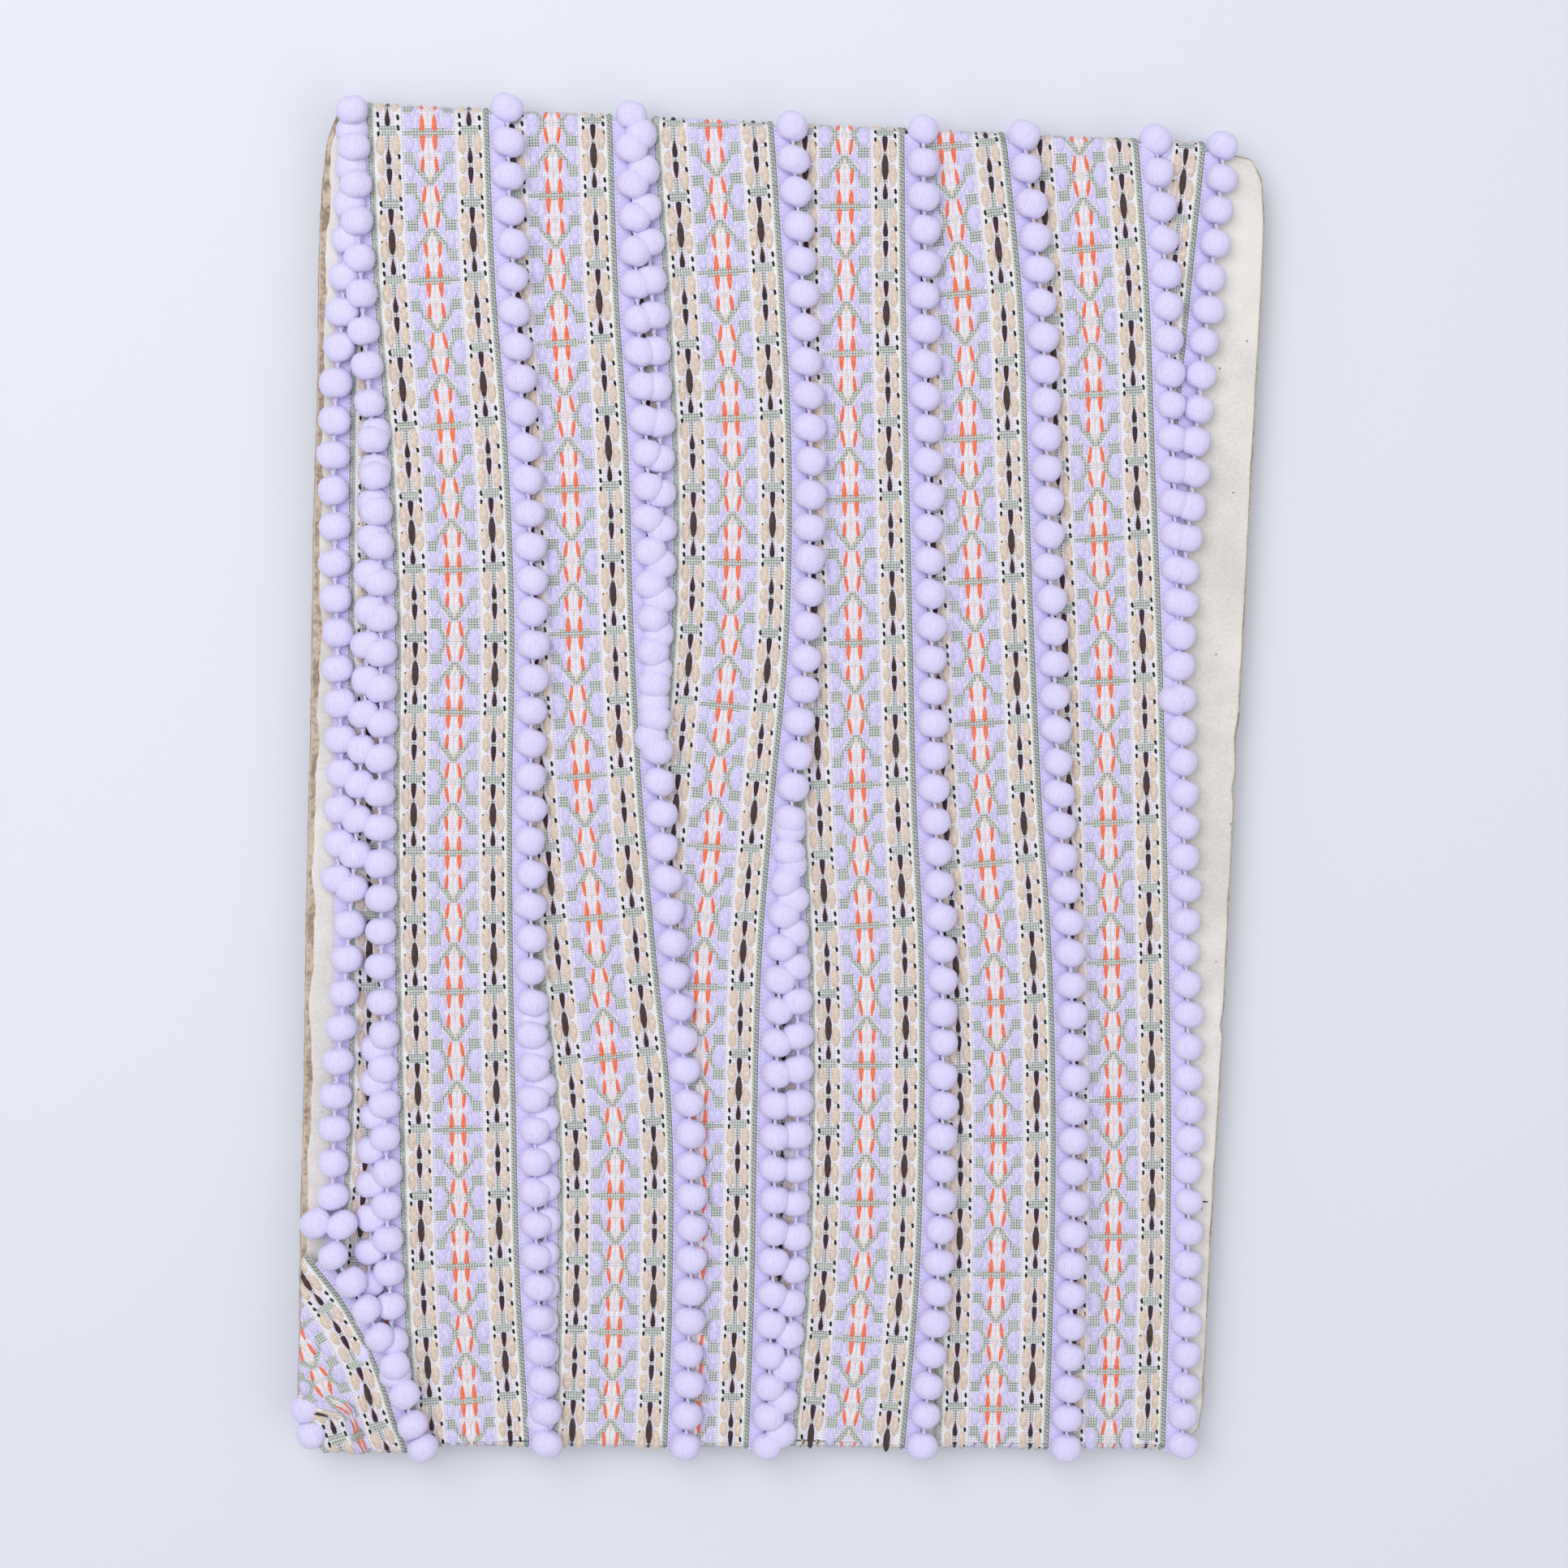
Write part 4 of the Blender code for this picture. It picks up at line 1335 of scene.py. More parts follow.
@dataclass
class PompomRow:
    """A row of pompoms along one edge, with the threads between them."""

    name: str
    centres: Array  # each pompom's middle
    lean: float = 0.0  # how far each is turned about Z, in degrees
    replaces: tuple[str, ...] = ()
    form: BallForm = field(default_factory=BallForm)
    neck: float = 0.6
    seed: int = 1

    def build(self, builder: Builder) -> bpy.types.Object:
        """Build the row as one piece."""
        count = len(self.centres)
        chance = np.random.default_rng(100 + self.seed)
        shapes, marks = self.form.points(count, self.seed)
        shapes = shapes * chance.uniform(0.95, 1.05, (count, 1, 3))
        turn = np.radians(self.lean + chance.uniform(-9, 9, count))
        cosine, sine = np.cos(turn)[:, None], np.sin(turn)[:, None]
        x = shapes[..., 0] * cosine - shapes[..., 1] * sine
        y = shapes[..., 0] * sine + shapes[..., 1] * cosine
        middles = self.centres + chance.uniform(-0.22, 0.22, (count, 3))
        points = np.stack([x, y, shapes[..., 2]], axis=-1) + middles[:, None]
        pile = MeshPile()
        pile.add(points, self.form.faces(), marks)
        self.tie(pile, middles)
        piece = pile.make(self.name, [builder.pile, builder.neck])
        if self.replaces:
            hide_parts(*self.replaces)
        return piece

    def tie(self, pile: MeshPile, middles: Array) -> None:
        """Add the short twisted neck between each pompom and the next, in a whitish thread whose tone
        is partly a painted highlight.

        Args:
            pile: where it goes
            middles: the pompoms' middles
        """
        sides, rings = 6, 4
        for start, end in zip(middles, middles[1:]):
            step = end - start
            if np.linalg.norm(step) > 10.0:
                continue
            for strand in (0.0, math.pi):
                centre = []
                for i in range(rings):
                    t = 0.36 + 0.28 * i / (rings - 1)
                    twist = strand + 4.0 * i / (rings - 1)
                    side = np.array([math.cos(twist), 0.0, math.sin(twist)]) * self.neck * 0.45
                    centre.append(start + step * t + side)
                turn = np.linspace(0, 2 * math.pi, sides + 1)
                circle = np.stack([np.cos(turn), 0 * turn, np.sin(turn)], axis=1) * self.neck * 0.5
                points = (np.array(centre)[:, None] + circle[None]).reshape(-1, 3)
                marks = np.stack(
                    [np.tile(turn * 0.3, rings), np.repeat(np.arange(rings) * 0.3, sides + 1)], axis=1
                )
                pile.add(points, grid_faces(rings, sides + 1), marks, 1)


@dataclass
class Tape:
    """The tape that carries a row of pompoms, sewn beside a selvedge."""

    name: str
    surface: Surface
    side: int
    start: float
    stop: float
    width: float = 3.4
    thickness: float = 0.5
    drop: float = 0.4
    columns: int = 5
    row_step: float = 2.5
    sewing_pitch: float = 0.95

    def build(self, builder: Builder) -> bpy.types.Object:
        """Build the tape and its line of sewing."""
        pile = MeshPile()
        rows = np.linspace(self.start, self.stop, int((self.stop - self.start) / self.row_step) + 2)
        share = np.linspace(0.0, 1.0, self.columns)
        edge = BAND_HALF - 0.15
        outer, along = np.meshgrid(share, rows)
        across = self.side * (edge + outer * self.width)
        off = self.thickness / 2 * np.ones_like(outer) - self.drop * outer
        top = raised(self.surface, across, along, off)
        low = raised(self.surface, across, along, off - self.thickness)
        marks = np.stack([outer * self.width, along], axis=-1).reshape(-1, 2)
        faces = grid_faces(len(rows), self.columns)
        faces = faces if self.side > 0 else faces[:, ::-1]
        pile.add(top.reshape(-1, 3), faces, marks)
        pile.add(low.reshape(-1, 3), faces[:, ::-1], marks)
        rim = np.stack([top[:, -1], low[:, -1]], axis=1).reshape(-1, 3)
        rim_marks = np.stack([np.tile([0.0, 0.4], len(rows)), np.repeat(rows, 2)], axis=1)
        rim_faces = grid_faces(len(rows), 2)
        pile.add(rim, rim_faces[:, ::-1] if self.side > 0 else rim_faces, rim_marks)
        self.sew(pile)
        return pile.make(self.name, [builder.tape, builder.sewing])

    def sew(self, pile: MeshPile) -> None:
        """Add the small stitches along the tape's inner edge, darker than the tape, partly the thread's
        colour and partly painted shade of the stitch holes.
        """
        along = np.arange(self.start, self.stop, self.sewing_pitch)
        ones = np.ones_like(along)
        line = self.side * (BAND_HALF + 0.25)

        def face(across: Array, length: Array) -> Array:
            """The tape's upper face."""
            return raised(self.surface, across, length, self.thickness / 2 * np.ones_like(across))

        Needle(face, pile).lay(
            np.stack([line * ones, along + 0.22], axis=1),
            np.stack([line * ones, along - 0.22], axis=1),
            0.32 * ones, 0 * ones, 0.2 * ones, Detail.SMALL, 1,
        )


@dataclass
class Trims:
    """Every pompom row and tape, on the front, behind the card and beside the under run."""

    right_pitch: float = 7.3
    left_pitch: float = 7.8
    right_out: float = 17.2
    left_out: float = -16.05
    top: float = 150.8
    bottom: float = -150.5
    flat: BallForm = BallForm(3.5, 3.5, 1.9, 12, 6)

    def steps(self, low: float, high: float, pitch: float) -> Array:
        """Give the pompoms' heights between two, counted from the top down, in rising order."""
        return np.arange(high, low, -pitch)[::-1]

    def along_turn(self, turn: Turn, out: float, ys: Array, level: float) -> Array:
        """Give pompom middles beside a turn's front.

        Args:
            turn: the turn
            out: how far they lie from its centre line
            ys: how far along it
            level: the middle's height

        Returns:
            The middles.
        """
        x = turn.centre(ys) + out
        past = np.maximum(np.abs(ys) - END, 0.0)
        return np.stack([x, ys, level - 0.9 * past], axis=1)

    def build(self, builder: Builder, turns: dict[str, Turn]) -> list[bpy.types.Object]:
        """Build every row and tape.

        Args:
            builder: the shared materials
            turns: the winding's turns

        Returns:
            The pieces.
        """
        made = self.front(builder, turns) + self.left_side(builder, turns)
        return made + self.behind(builder, turns)

    def front(self, builder: Builder, turns: dict[str, Turn]) -> list[bpy.types.Object]:
        """Build the right edges of the front's turns."""
        made = []
        rest = POMPOM_REST
        for number, name in enumerate(RUNS):
            turn = turns[name]
            low = 20.0 if name == "7" else self.bottom
            ys = self.steps(low, self.top - 0.5 * (number * 2.9 % 2.0), self.right_pitch)
            level = rest - (1.2 if name in ("6", "7") else 0.0)
            centres = self.along_turn(turn, self.right_out, ys, level)
            row = PompomRow(
                f"pompom_row_{name}_right", centres, -14.0, (f"pompoms_{name}_right",), seed=number + 1
            )
            made.append(row.build(builder))
            made.append(Tape(f"tape_{name}_right", turn.place, 1, low, END).build(builder))
        return made

    def line(self, points: Sequence[tuple[float, float]], level: float, phase: float = 0.0) -> Array:
        """Give pompom middles along a line of (y, x) points, which rise in y."""
        ys = self.steps(points[0][0], points[-1][0] - phase, self.left_pitch)
        x = smooth_line([p[0] for p in points], [p[1] for p in points], ys)
        return np.stack([x, ys, np.full_like(ys, level)], axis=1)

    def left_side(self, builder: Builder, turns: dict[str, Turn]) -> list[bpy.types.Object]:
        """Build the left edges that show: those of runs 1 to 4 and of the runs under run 1."""
        rest = POMPOM_REST
        rows = {
            "pompom_row_1_left": (
                self.along_turn(
                    turns["1"], self.left_out, self.steps(-137.0, 148.5, self.left_pitch), rest + 0.5
                ),
                ("pompoms_1_left",),
            ),
            "pompom_row_under_left": (
                self.line(
                    [(-24, -98.5), (7, -98.1), (42, -99.9), (82, -101.0), (112, -99.5), (146, -98.0)],
                    CARD_HIGH[2] + 2.75,
                    1.5,
                ),
                ("pompoms_under_left",),
            ),
            "pompom_row_second_left": (
                self.line(
                    [(-95, -97.9), (-75, -98.0), (-43, -96.3), (-12, -94.6), (19, -93.2), (84, -91.8)],
                    rest - 0.6,
                    4.1,
                ),
                (),
            ),
            "pompom_row_second_right": (
                self.line([(-138, -91.0), (-110, -89.6), (-80, -89.3), (-54, -88.6)], rest - 1.5, 3.6),
                (),
            ),
            "pompom_row_3_left": (
                self.along_turn(
                    turns["3"], self.left_out, self.steps(10.0, 146.5, self.left_pitch), rest - 0.9
                ),
                ("tape_3_left",),
            ),
            "pompom_row_4_left": (
                self.along_turn(
                    turns["4"], self.left_out, self.steps(-149.0, -6.0, self.left_pitch), rest - 0.9
                ),
                ("tape_4_left",),
            ),
            "pompom_row_2_left": (
                self.along_turn(
                    turns["2"], self.left_out, self.steps(-149.0, -50.0, self.left_pitch), rest - 1.9
                ),
                (),
            ),
        }
        made = []
        for number, (name, (centres, nodes)) in enumerate(rows.items()):
            made.append(PompomRow(name, centres, 8.0, nodes, seed=20 + number).build(builder))
        spans = (("1", -END, END), ("2", -END, -44.0), ("3", 8.0, END), ("4", -END, -4.0))
        for name, low, high in spans:
            made.append(Tape(f"tape_{name}_left", turns[name].place, -1, low, high).build(builder))
        made.append(Tape("tape_under_left", turns["under"].place, -1, -END, END).build(builder))
        return made

    def hidden(self, turn: Turn, out: float, start: float, stop: float, lift: float) -> Array:
        """Give the middles of a row behind the card, kept within the card's reach.

        Args:
            turn: the turn
            out: how far they lie from its centre line
            start: the first length along
            stop: the last
            lift: how far the pompoms stand off the surface below

        Returns:
            The middles.
        """
        along = np.arange(start - 0.5, stop + 1.0, self.left_pitch)
        places = turn.place(np.full_like(along, out), along)
        places[:, 2] = self.flat.half_height + lift
        places[:, 1] = np.clip(places[:, 1], -END - 0.6, END + 0.6)
        if out > 0:
            places[:, 0] = np.minimum(places[:, 0], CARD_HIGH[0] - 2.4)
        else:
            places[:, 0] = np.maximum(places[:, 0], -CARD_HIGH[0] + 2.4)
        return places

    def behind(self, builder: Builder, turns: dict[str, Turn]) -> list[bpy.types.Object]:
        """Build the rows behind the card, flattened where they rest."""
        made = []
        start, stop = END + FOLD_LENGTH, 3 * END + FOLD_LENGTH
        for number, name in enumerate(RUNS):
            turn = turns[name]
            places = self.hidden(turn, self.right_out, start, stop, 0.15)
            row = PompomRow(
                f"pompom_row_{name}_behind", places, 0.0, (f"back_pompoms_{number + 1}",),
                self.flat, seed=40 + number,
            )
            made.append(row.build(builder))
            if name == "7":
                stop = 2 * END
            tape = Tape(f"tape_{name}_behind", turn.place, 1, start, stop, drop=0.0)
            made.append(tape.build(builder))
        turn = turns["1"]
        stop = 3 * END + FOLD_LENGTH
        places = self.hidden(turn, self.left_out, start, stop, 1.4)
        row = PompomRow(
            "pompom_row_left_behind", places, 0.0, ("back_pompoms_left",), self.flat, seed=60
        )
        made.append(row.build(builder))
        return made


@dataclass
class LooseEnd:
    """The ribbon's loose end, from the bottom fold up to the notch where it is tucked in."""

    # The right selvedge as (x, y), from the bottom fold up.
    selvedge: tuple[tuple[float, float], ...] = (
        (-79.4, -155.5),
        (-80.3, -149.4),
        (-82.2, -144.6),
        (-85.2, -135.1),
        (-88.2, -127.3),
        (-91.5, -121.2),
        (-94.9, -115.6),
        (-99.3, -109.9),
        (-103.5, -104.8),
    )
    left_limit: float = -104.4
    tuck: float = 3.2
    bottom_limit: float = -151.4
    # The middle's puckered stretch across, the share of it taken up, and where it grows.
    pucker: tuple[float, float] = (-5.6, 5.4)
    pucker_share: float = 0.72
    pucker_from: float = 24.5
    pucker_grows: float = 8.0
    pleat_rise: float = 1.4
    pleat_depth: float = 0.9
    # How high the sheet stands off the card, at these places in y.
    stand_at: tuple[float, ...] = (-152.0, -149.4, -141.0, -127.3, -113.5, -104.0)
    stand: tuple[float, ...] = (2.6, 2.9, 4.1, 4.7, 3.8, 3.0)
    first_bar: float = 12.0
    columns: int = 41
    rows: int = 61

    def knots(self) -> tuple[Array, Array, Array]:
        """Give the selvedge's length, x and y at its points."""
        points = np.array(self.selvedge)
        lengths = np.concatenate([[0.0], np.cumsum(np.linalg.norm(np.diff(points, axis=0), axis=1))])
        return lengths, points[:, 0], points[:, 1]

    def flat(self, across: Array, along: Array) -> tuple[Array, Array]:
        """Give where a place of the ribbon lies, seen from above and before it is tucked in."""
        lengths, xs, ys = self.knots()
        x, y = smooth_line(lengths, xs, along), smooth_line(lengths, ys, along)
        step = 1.5
        at = np.clip(along, step, lengths[-1] - step)
        dx = smooth_line(lengths, xs, at + step) - smooth_line(lengths, xs, at - step)
        dy = smooth_line(lengths, ys, at + step) - smooth_line(lengths, ys, at - step)
        size = np.hypot(dx, dy)
        inward = self.inward(across, along)
        return x + inward * dy / size, y - inward * dx / size

    def gathered(self, along: Array) -> Array:
        """Give how far the middle is puckered: 1 near the fold and 0 above."""
        share = np.clip((self.pucker_from - along) / self.pucker_grows, 0.0, 1.0)
        return share * share * (3 - 2 * share)

    def inward(self, across: Array, along: Array) -> Array:
        """Give the distance from the right selvedge, negative inwards, once the middle is puckered."""
        low, high = self.pucker
        middle = (np.clip(across, low, high) - high) * (1 - self.pucker_share * self.gathered(along))
        return np.maximum(across, high) - BAND_HALF + middle + np.minimum(across - low, 0.0)

    def place(self, across: Array, along: Array) -> Array:
        """Give the loose end's face at places across and along it."""
        across, along = np.broadcast_arrays(np.asarray(across, float), np.asarray(along, float))
        x, y = self.flat(across, along)
        height = smooth_line(self.stand_at, self.stand, y)
        ridge = self.pleat_rise * np.exp(-(((across + 3.5) / 2.4) ** 2))
        crease = self.pleat_depth * np.exp(-(((across - 3.4) / 1.3) ** 2))
        height = height + self.gathered(along) * (ridge - crease)
        over = np.maximum(self.left_limit + 0.8 - x, 0.0)
        height = height - np.where(over < 1.2, over**2 / 2.4, over - 0.6)
        x = np.where(over > 0, self.left_limit + 0.8 - np.minimum(over, 1.2) * 0.67, x)
        below = np.maximum(self.bottom_limit + 0.9 - y, 0.0)
        height = height - np.where(below < 1.4, below**2 / 2.8, below - 0.7)
        y = np.where(below > 0, self.bottom_limit + 0.9 - np.minimum(below, 1.4) * 0.65, y)
        return np.stack([x, y, FRONT_FACE + height], axis=-1)

    def inside(self, across: Array, along: Array) -> Array:
        """Whether places lie on the part of the loose end that is modelled."""
        x, y = self.flat(across, along)
        return (x > self.left_limit - self.tuck) & (y > self.bottom_limit - 4.5)

    def build(self, builder: Builder, weave: Weave) -> list[bpy.types.Object]:
        """Build the loose end's cloth, stitches, tape and pompoms.

        Args:
            builder: the shared materials
            weave: the ribbon's pattern

        Returns:
            The pieces.
        """
        stop = self.knots()[0][-1]

        def along_of(repeats: Array) -> Array:
            """The length at a count of repeats."""
            return self.first_bar + np.asarray(repeats, float) * REPEAT

        def repeats_of(along: Array) -> Array:
            """The count of repeats at a length."""
            return (np.asarray(along, float) - self.first_bar) / REPEAT

        ribbon = WovenRibbon(self.place, along_of, repeats_of, weave)
        width = np.linspace(-BAND_HALF, BAND_HALF, self.columns)
        across, along = np.meshgrid(width, np.linspace(0.0, stop, self.rows))
        faces = grid_faces(self.rows, self.columns)
        kept = self.inside(across.ravel(), along.ravel())
        faces = faces[kept[faces].all(axis=1)]
        used, numbers = np.unique(faces, return_inverse=True)
        points = self.place(across.ravel()[used], along.ravel()[used])
        marks = np.stack([across.ravel()[used], repeats_of(along.ravel()[used])], axis=-1)
        cloth_pile = MeshPile()
        cloth_pile.add(points, numbers.reshape(faces.shape), marks)
        cloth = cloth_pile.make("loose_end_cloth", [builder.ground])
        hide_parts("ribbon_tail")
        pile = MeshPile()
        floats = weave.floats()

        def fineness(stitch: Stitch) -> Detail:
            """Model wide floats finely."""
            return Detail.FINE if stitch.width > 2.0 else Detail.MIDDLE

        ribbon.stitch(pile, floats, 0.0, stop, fineness, self.inside)
        ribbon.stitch(pile, weave.picots(), 0.0, stop, lambda _: Detail.PLAIN, self.inside)
        Winding(weave).seed(pile, ribbon, 0.0, stop, self.inside, Detail.PLAIN)
        ribbon.selvedge(pile, 0.0, stop, self.inside)
        stitches = pile.make("loose_end_stitches", builder.floats)
        tape = Tape("loose_end_tape", self.place, 1, 2.0, stop - 3.0, width=2.6).build(builder)
        right = PompomRow(
            "loose_end_pompoms", self.right_pompoms(), 35.0, ("tail_pompoms",), seed=70
        ).build(builder)
        level = CARD_HIGH[2] + 2.9
        left_centres = np.array([(-103.4, -141.2, level), (-101.9, -147.2, level)])
        left = PompomRow("loose_end_left_pompoms", left_centres, 20.0, seed=71).build(builder)
        return [cloth, stitches, tape, right, left]

    def right_pompoms(self) -> Array:
        """Give the middles of the loose end's right-hand pompoms, from the top down."""
        level = FRONT_FACE + 6.2
        spots = (
            (-101.4, -97.4, -1.9),
            (-95.6, -97.6, -0.9),
            (-97.6, -104.4, 0.2),
            (-93.2, -110.7, 0.3),
            (-89.8, -116.6, 0.4),
            (-86.8, -123.2, 0.3),
            (-83.2, -129.7, 0.2),
            (-80.8, -136.6, 0.0),
            (-78.8, -143.6, -0.2),
            (-76.6, -149.6, -1.0),
        )
        return np.array([(x, y, level + rise) for x, y, rise in spots])


@dataclass
class Card:
    """The winding board: a pale face paper over a brown layered core, worn at its corners."""

    # The rim as (x, y), anticlockwise from the top-left corner.
    rim: tuple[tuple[float, float], ...] = (
        (-101.9, 148.5),
        (-103.8, 143.0),
        (-104.6, 136.5),
        (-105.2, 127.0),
        (-105.4, 112.0),
        (-105.1, 92.0),
        (-105.5, 60.0),
        (-105.3, 20.0),
        (-105.5, -30.0),
        (-105.3, -70.0),
        (-105.5, -103.0),
        (-105.3, -125.0),
        (-105.4, -139.0),
        (-104.9, -146.4),
        (-102.8, -148.5),
        (-60.0, -148.4),
        (0.0, -148.5),
        (60.0, -148.4),
        (101.6, -148.5),
        (103.4, -147.4),
        (104.6, -145.8),
        (105.4, -139.5),
        (105.2, -100.0),
        (105.5, -52.0),
        (104.9, -49.5),
        (105.4, -46.0),
        (105.3, 2.0),
        (104.7, 5.5),
        (105.3, 9.0),
        (104.8, 17.0),
        (105.4, 22.0),
        (105.3, 80.0),
        (105.4, 120.0),
        (105.2, 134.0),
        (104.2, 143.0),
        (101.5, 147.6),
        (96.8, 148.4),
        (40.0, 148.5),
        (-40.0, 148.4),
    )
    step: float = 1.5
    paper: float = 0.35

    def outline(self) -> Array:
        """Give the rim's points, close together."""
        rim = np.array(self.rim + self.rim[:1])
        lengths = np.concatenate([[0.0], np.cumsum(np.linalg.norm(np.diff(rim, axis=0), axis=1))])
        at = np.arange(0.0, lengths[-1], self.step)
        return np.stack([np.interp(at, lengths, rim[:, 0]), np.interp(at, lengths, rim[:, 1])], axis=1)

    def inset(self, outline: Array, amount: Array) -> Array:
        """Move the rim's points inwards, each by its own amount."""
        along = np.roll(outline, -1, axis=0) - np.roll(outline, 1, axis=0)
        along /= np.linalg.norm(along, axis=1, keepdims=True)
        return outline + np.stack([-along[:, 1], along[:, 0]], axis=1) * amount[:, None]

    def within(self, outline: Array, margin: float) -> Array:
        """Bring the rim's points in to a plain rectangle this far inside the card's box."""
        return np.clip(outline, CARD_LOW[:2] + margin, CARD_HIGH[:2] - margin)

    def rings(self, loops: Sequence[tuple[Array, Array]]) -> tuple[Array, Array]:
        """Join closed loops of (outline, height) into a skin.

        Args:
            loops: the loops, from the outer one inwards

        Returns:
            The points and the quads between them.
        """
        count = len(loops[0][0])
        points = [np.concatenate([outline, level[:, None]], axis=1) for outline, level in loops]
        faces = []
        for ring in range(len(loops) - 1):
            for i in range(count):
                j = (i + 1) % count
                inner = (ring + 1) * count
                faces.append((ring * count + i, ring * count + j, inner + j, inner + i))
        return np.concatenate(points), np.array(faces)

    def build(self, builder: Builder) -> list[bpy.types.Object]:
        """Build the core and the face paper."""
        outline = self.outline()
        count = len(outline)
        chance = np.random.default_rng(5)
        low, high = CARD_LOW[2], CARD_HIGH[2]
        rough = np.tile(chance.uniform(-1, 1, count), 3)
        rough = np.convolve(rough, np.ones(5) / 5, "same")[count:-count]
        fine = chance.uniform(-1, 1, count)
        left = np.clip((-outline[:, 0] - 98.0) / 4.0, 0.0, 1.0)
        right = np.clip((outline[:, 0] - 101.0) / 3.0, 0.0, 1.0)
        corner = np.exp(-((outline[:, 0] + 103.0) ** 2 + (outline[:, 1] - 142.0) ** 2) / 120.0)
        lifted = 1.3 * corner
        level = np.ones(count)
        zero = np.zeros(count)
        wobble = 0.12 * rough
        core = [
            (self.within(outline, 8.0), low * level + 0.05),
            (self.inset(outline, zero + 0.5), low * level),
            (self.inset(outline, 0.05 + np.abs(wobble)), low + 0.5 * level),
            (self.inset(outline, 0.2 + wobble), low + 1.5 * level + 0.4 * lifted),
            (self.inset(outline, 0.05 + 0.08 * fine), low + 2.3 * level + 0.6 * lifted),
            (self.inset(outline, 0.15 + wobble + 0.1), high - 0.45 * level + lifted),
            (self.inset(outline, 0.45 + 0.15 * fine + 0.2 * left), high - 0.32 * level + lifted),
            (self.within(outline, 9.0), high - 0.3 * level),
        ]
        points, faces = self.rings(core)
        pile = MeshPile()
        pile.add(points, faces, np.zeros((len(points), 2)))
        for ring, flip in ((core[0], True), (core[-1], False)):
            self.cap(pile, ring, flip)
        core_piece = pile.make("card_core", [builder.core])
        back = 0.35 + 0.25 * np.abs(rough) + left * (1.3 + 1.1 * rough) + 0.25 * right * (1 + rough)
        face = [
            (self.inset(outline, back + 0.05), high - 0.3 * level + lifted),
            (self.inset(outline, back), high - 0.08 * level + lifted),
            (self.inset(outline, back + 0.25), high * level + lifted),
            (self.inset(outline, back + 1.2), high * level + 0.75 * lifted),
            (self.within(outline, 9.0), high * level),
        ]
        points, faces = self.rings(face)
        pile = MeshPile()
        pile.add(points, faces, np.zeros((len(points), 2)))
        self.cap(pile, face[-1], False)
        paper = pile.make("card_face", [builder.face])
        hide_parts("card")
        return [core_piece, paper, self.pen_mark(builder)]

    def cap(self, pile: MeshPile, ring: tuple[Array, Array], flip: bool) -> None:
        """Close a loop with a fan of triangles about its middle.

        Args:
            pile: where it goes
            ring: the loop and its heights
            flip: whether the cap faces down
        """
        outline, level = ring
        points = np.concatenate([outline, level[:, None]], axis=1)
        middle = points.mean(axis=0)
        points = np.concatenate([points, middle[None]])
        count = len(outline)
        faces = np.array([(i, (i + 1) % count, count) for i in range(count)])
        pile.add(points, faces[:, ::-1] if flip else faces, np.zeros((count + 1, 2)))

    def pen_mark(self, builder: Builder) -> bpy.types.Object:
        """Build the short dark pen line on the right border."""
        pile = MeshPile()

        def paper(across: Array, along: Array) -> Array:
            """The card's face, read along X."""
            level = np.full_like(across, CARD_HIGH[2])
            return np.stack([along, -91.2 - across, level], axis=-1)

        one = np.ones(1)
        Needle(paper, pile).lay(
            np.array([[0.0, 100.8]]), np.array([[0.1, 104.0]]), 0.6 * one, 0 * one,
            0.2 * one, Detail.MIDDLE, Yarn.BLACK.value,
        )
        return pile.make("card_pen_mark", builder.floats)


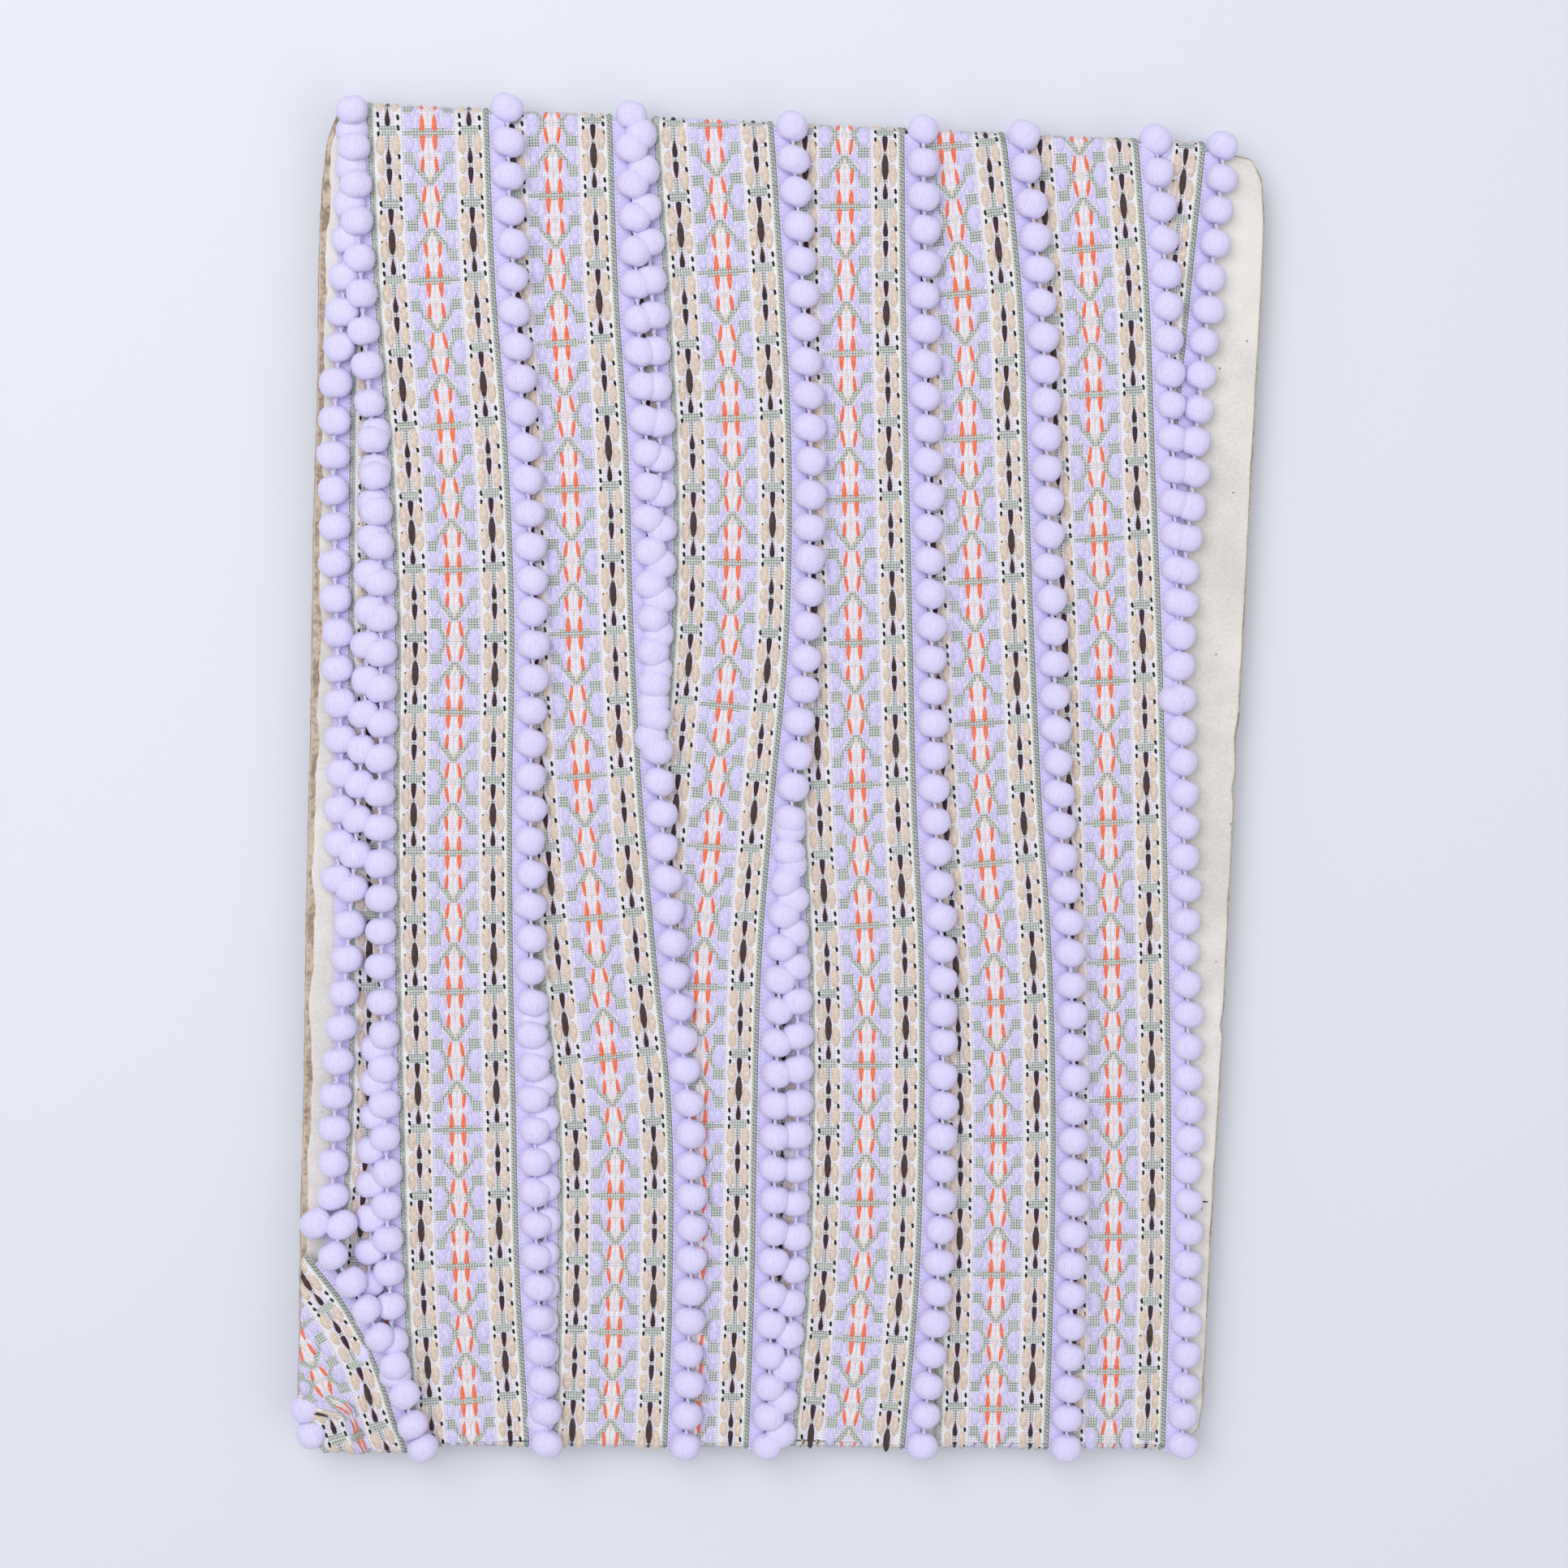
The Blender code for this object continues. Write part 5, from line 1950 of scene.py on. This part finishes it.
@dataclass
class Studio:
    """The camera at the photograph's angle, the floor and the soft light."""

    camera_place: tuple[float, float, float] = (-62.47, 78.25, 678.21)
    camera_target: tuple[float, float, float] = (1.21, 3.85, 8.15)
    camera_roll: float = 2.063
    lens: float = 68.584
    sensor: float = 36.0
    floor_half: float = 3000.0
    floor_colour: Colour = srgb(226, 229, 238)

    def camera(self) -> None:
        """Place the camera."""
        data = bpy.data.cameras.new("camera")
        data.lens = self.lens
        data.sensor_width = self.sensor
        data.clip_start = 0.05
        made = bpy.data.objects.new("camera", data)
        bpy.context.scene.collection.objects.link(made)
        place, target = Vector(self.camera_place) * MM, Vector(self.camera_target) * MM
        back = (place - target).normalized()
        right = Vector((0, 1, 0)).cross(back).normalized()
        turned = Matrix((right, back.cross(right), back)).transposed()
        roll = Matrix.Rotation(math.radians(self.camera_roll), 3, "Z")
        made.matrix_world = Matrix.Translation(place) @ (turned @ roll).to_4x4()
        bpy.context.scene.camera = made

    def floor(self) -> None:
        """Lay the pale floor."""
        half = self.floor_half * MM
        mesh = bpy.data.meshes.new("floor")
        corners = [(-half, -half, 0), (half, -half, 0), (half, half, 0), (-half, half, 0)]
        mesh.from_pydata(corners, [], [(0, 1, 2, 3)])
        recipe = Recipe("floor_paint", 0.7)
        cloud = recipe.noise(recipe.places(), 3.0, 2.0)
        tone = recipe.mix(cloud, self.floor_colour, tuple(0.97 * c for c in self.floor_colour))
        mesh.materials.append(recipe.finish(tone, cloud, 0.0))
        made = bpy.data.objects.new("floor", mesh)
        bpy.context.scene.collection.objects.link(made)

    def lamp(self, name: str, place: tuple[float, float, float], size: float, watts: float) -> None:
        """Hang one square soft light that faces the card's middle.

        Args:
            name: its name
            place: where it hangs, in millimetres
            size: its side, in millimetres
            watts: its power
        """
        data = bpy.data.lights.new(name, "AREA")
        data.energy = watts
        data.size = size * MM
        made = bpy.data.objects.new(name, data)
        made.location = Vector(place) * MM
        made.rotation_euler = (-made.location).to_track_quat("-Z", "Y").to_euler()
        bpy.context.scene.collection.objects.link(made)

    def light(self) -> None:
        """Hang the soft lights and set the pale surroundings."""
        self.lamp("key_light", (-500.0, 450.0, 1300.0), 1100.0, 14.0)
        self.lamp("fill_light", (700.0, -300.0, 1400.0), 1400.0, 5.5)
        world = bpy.data.worlds.new("surroundings")
        world.use_nodes = True
        sky = world.node_tree.nodes["Background"]
        sky.inputs[0].default_value = (0.93, 0.95, 1.0, 1.0)
        sky.inputs[1].default_value = 0.42
        bpy.context.scene.world = world
        bpy.context.scene.view_settings.view_transform = "Standard"
        bpy.context.scene.view_settings.look = "None"

    def build(self) -> None:
        """Set up the camera, the floor and the lights."""
        self.camera()
        self.floor()
        self.light()


def main() -> None:
    """Build the studio and every piece."""
    logging.basicConfig(level=logging.INFO, format="%(name)s: %(message)s")
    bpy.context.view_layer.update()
    Studio().build()
    builder = Builder()
    weave = Weave()
    Card().build(builder)
    turns = Winding(weave).build(builder)
    Trims().build(builder, turns)
    LooseEnd().build(builder, weave)


if __name__ == "__main__":
    main()
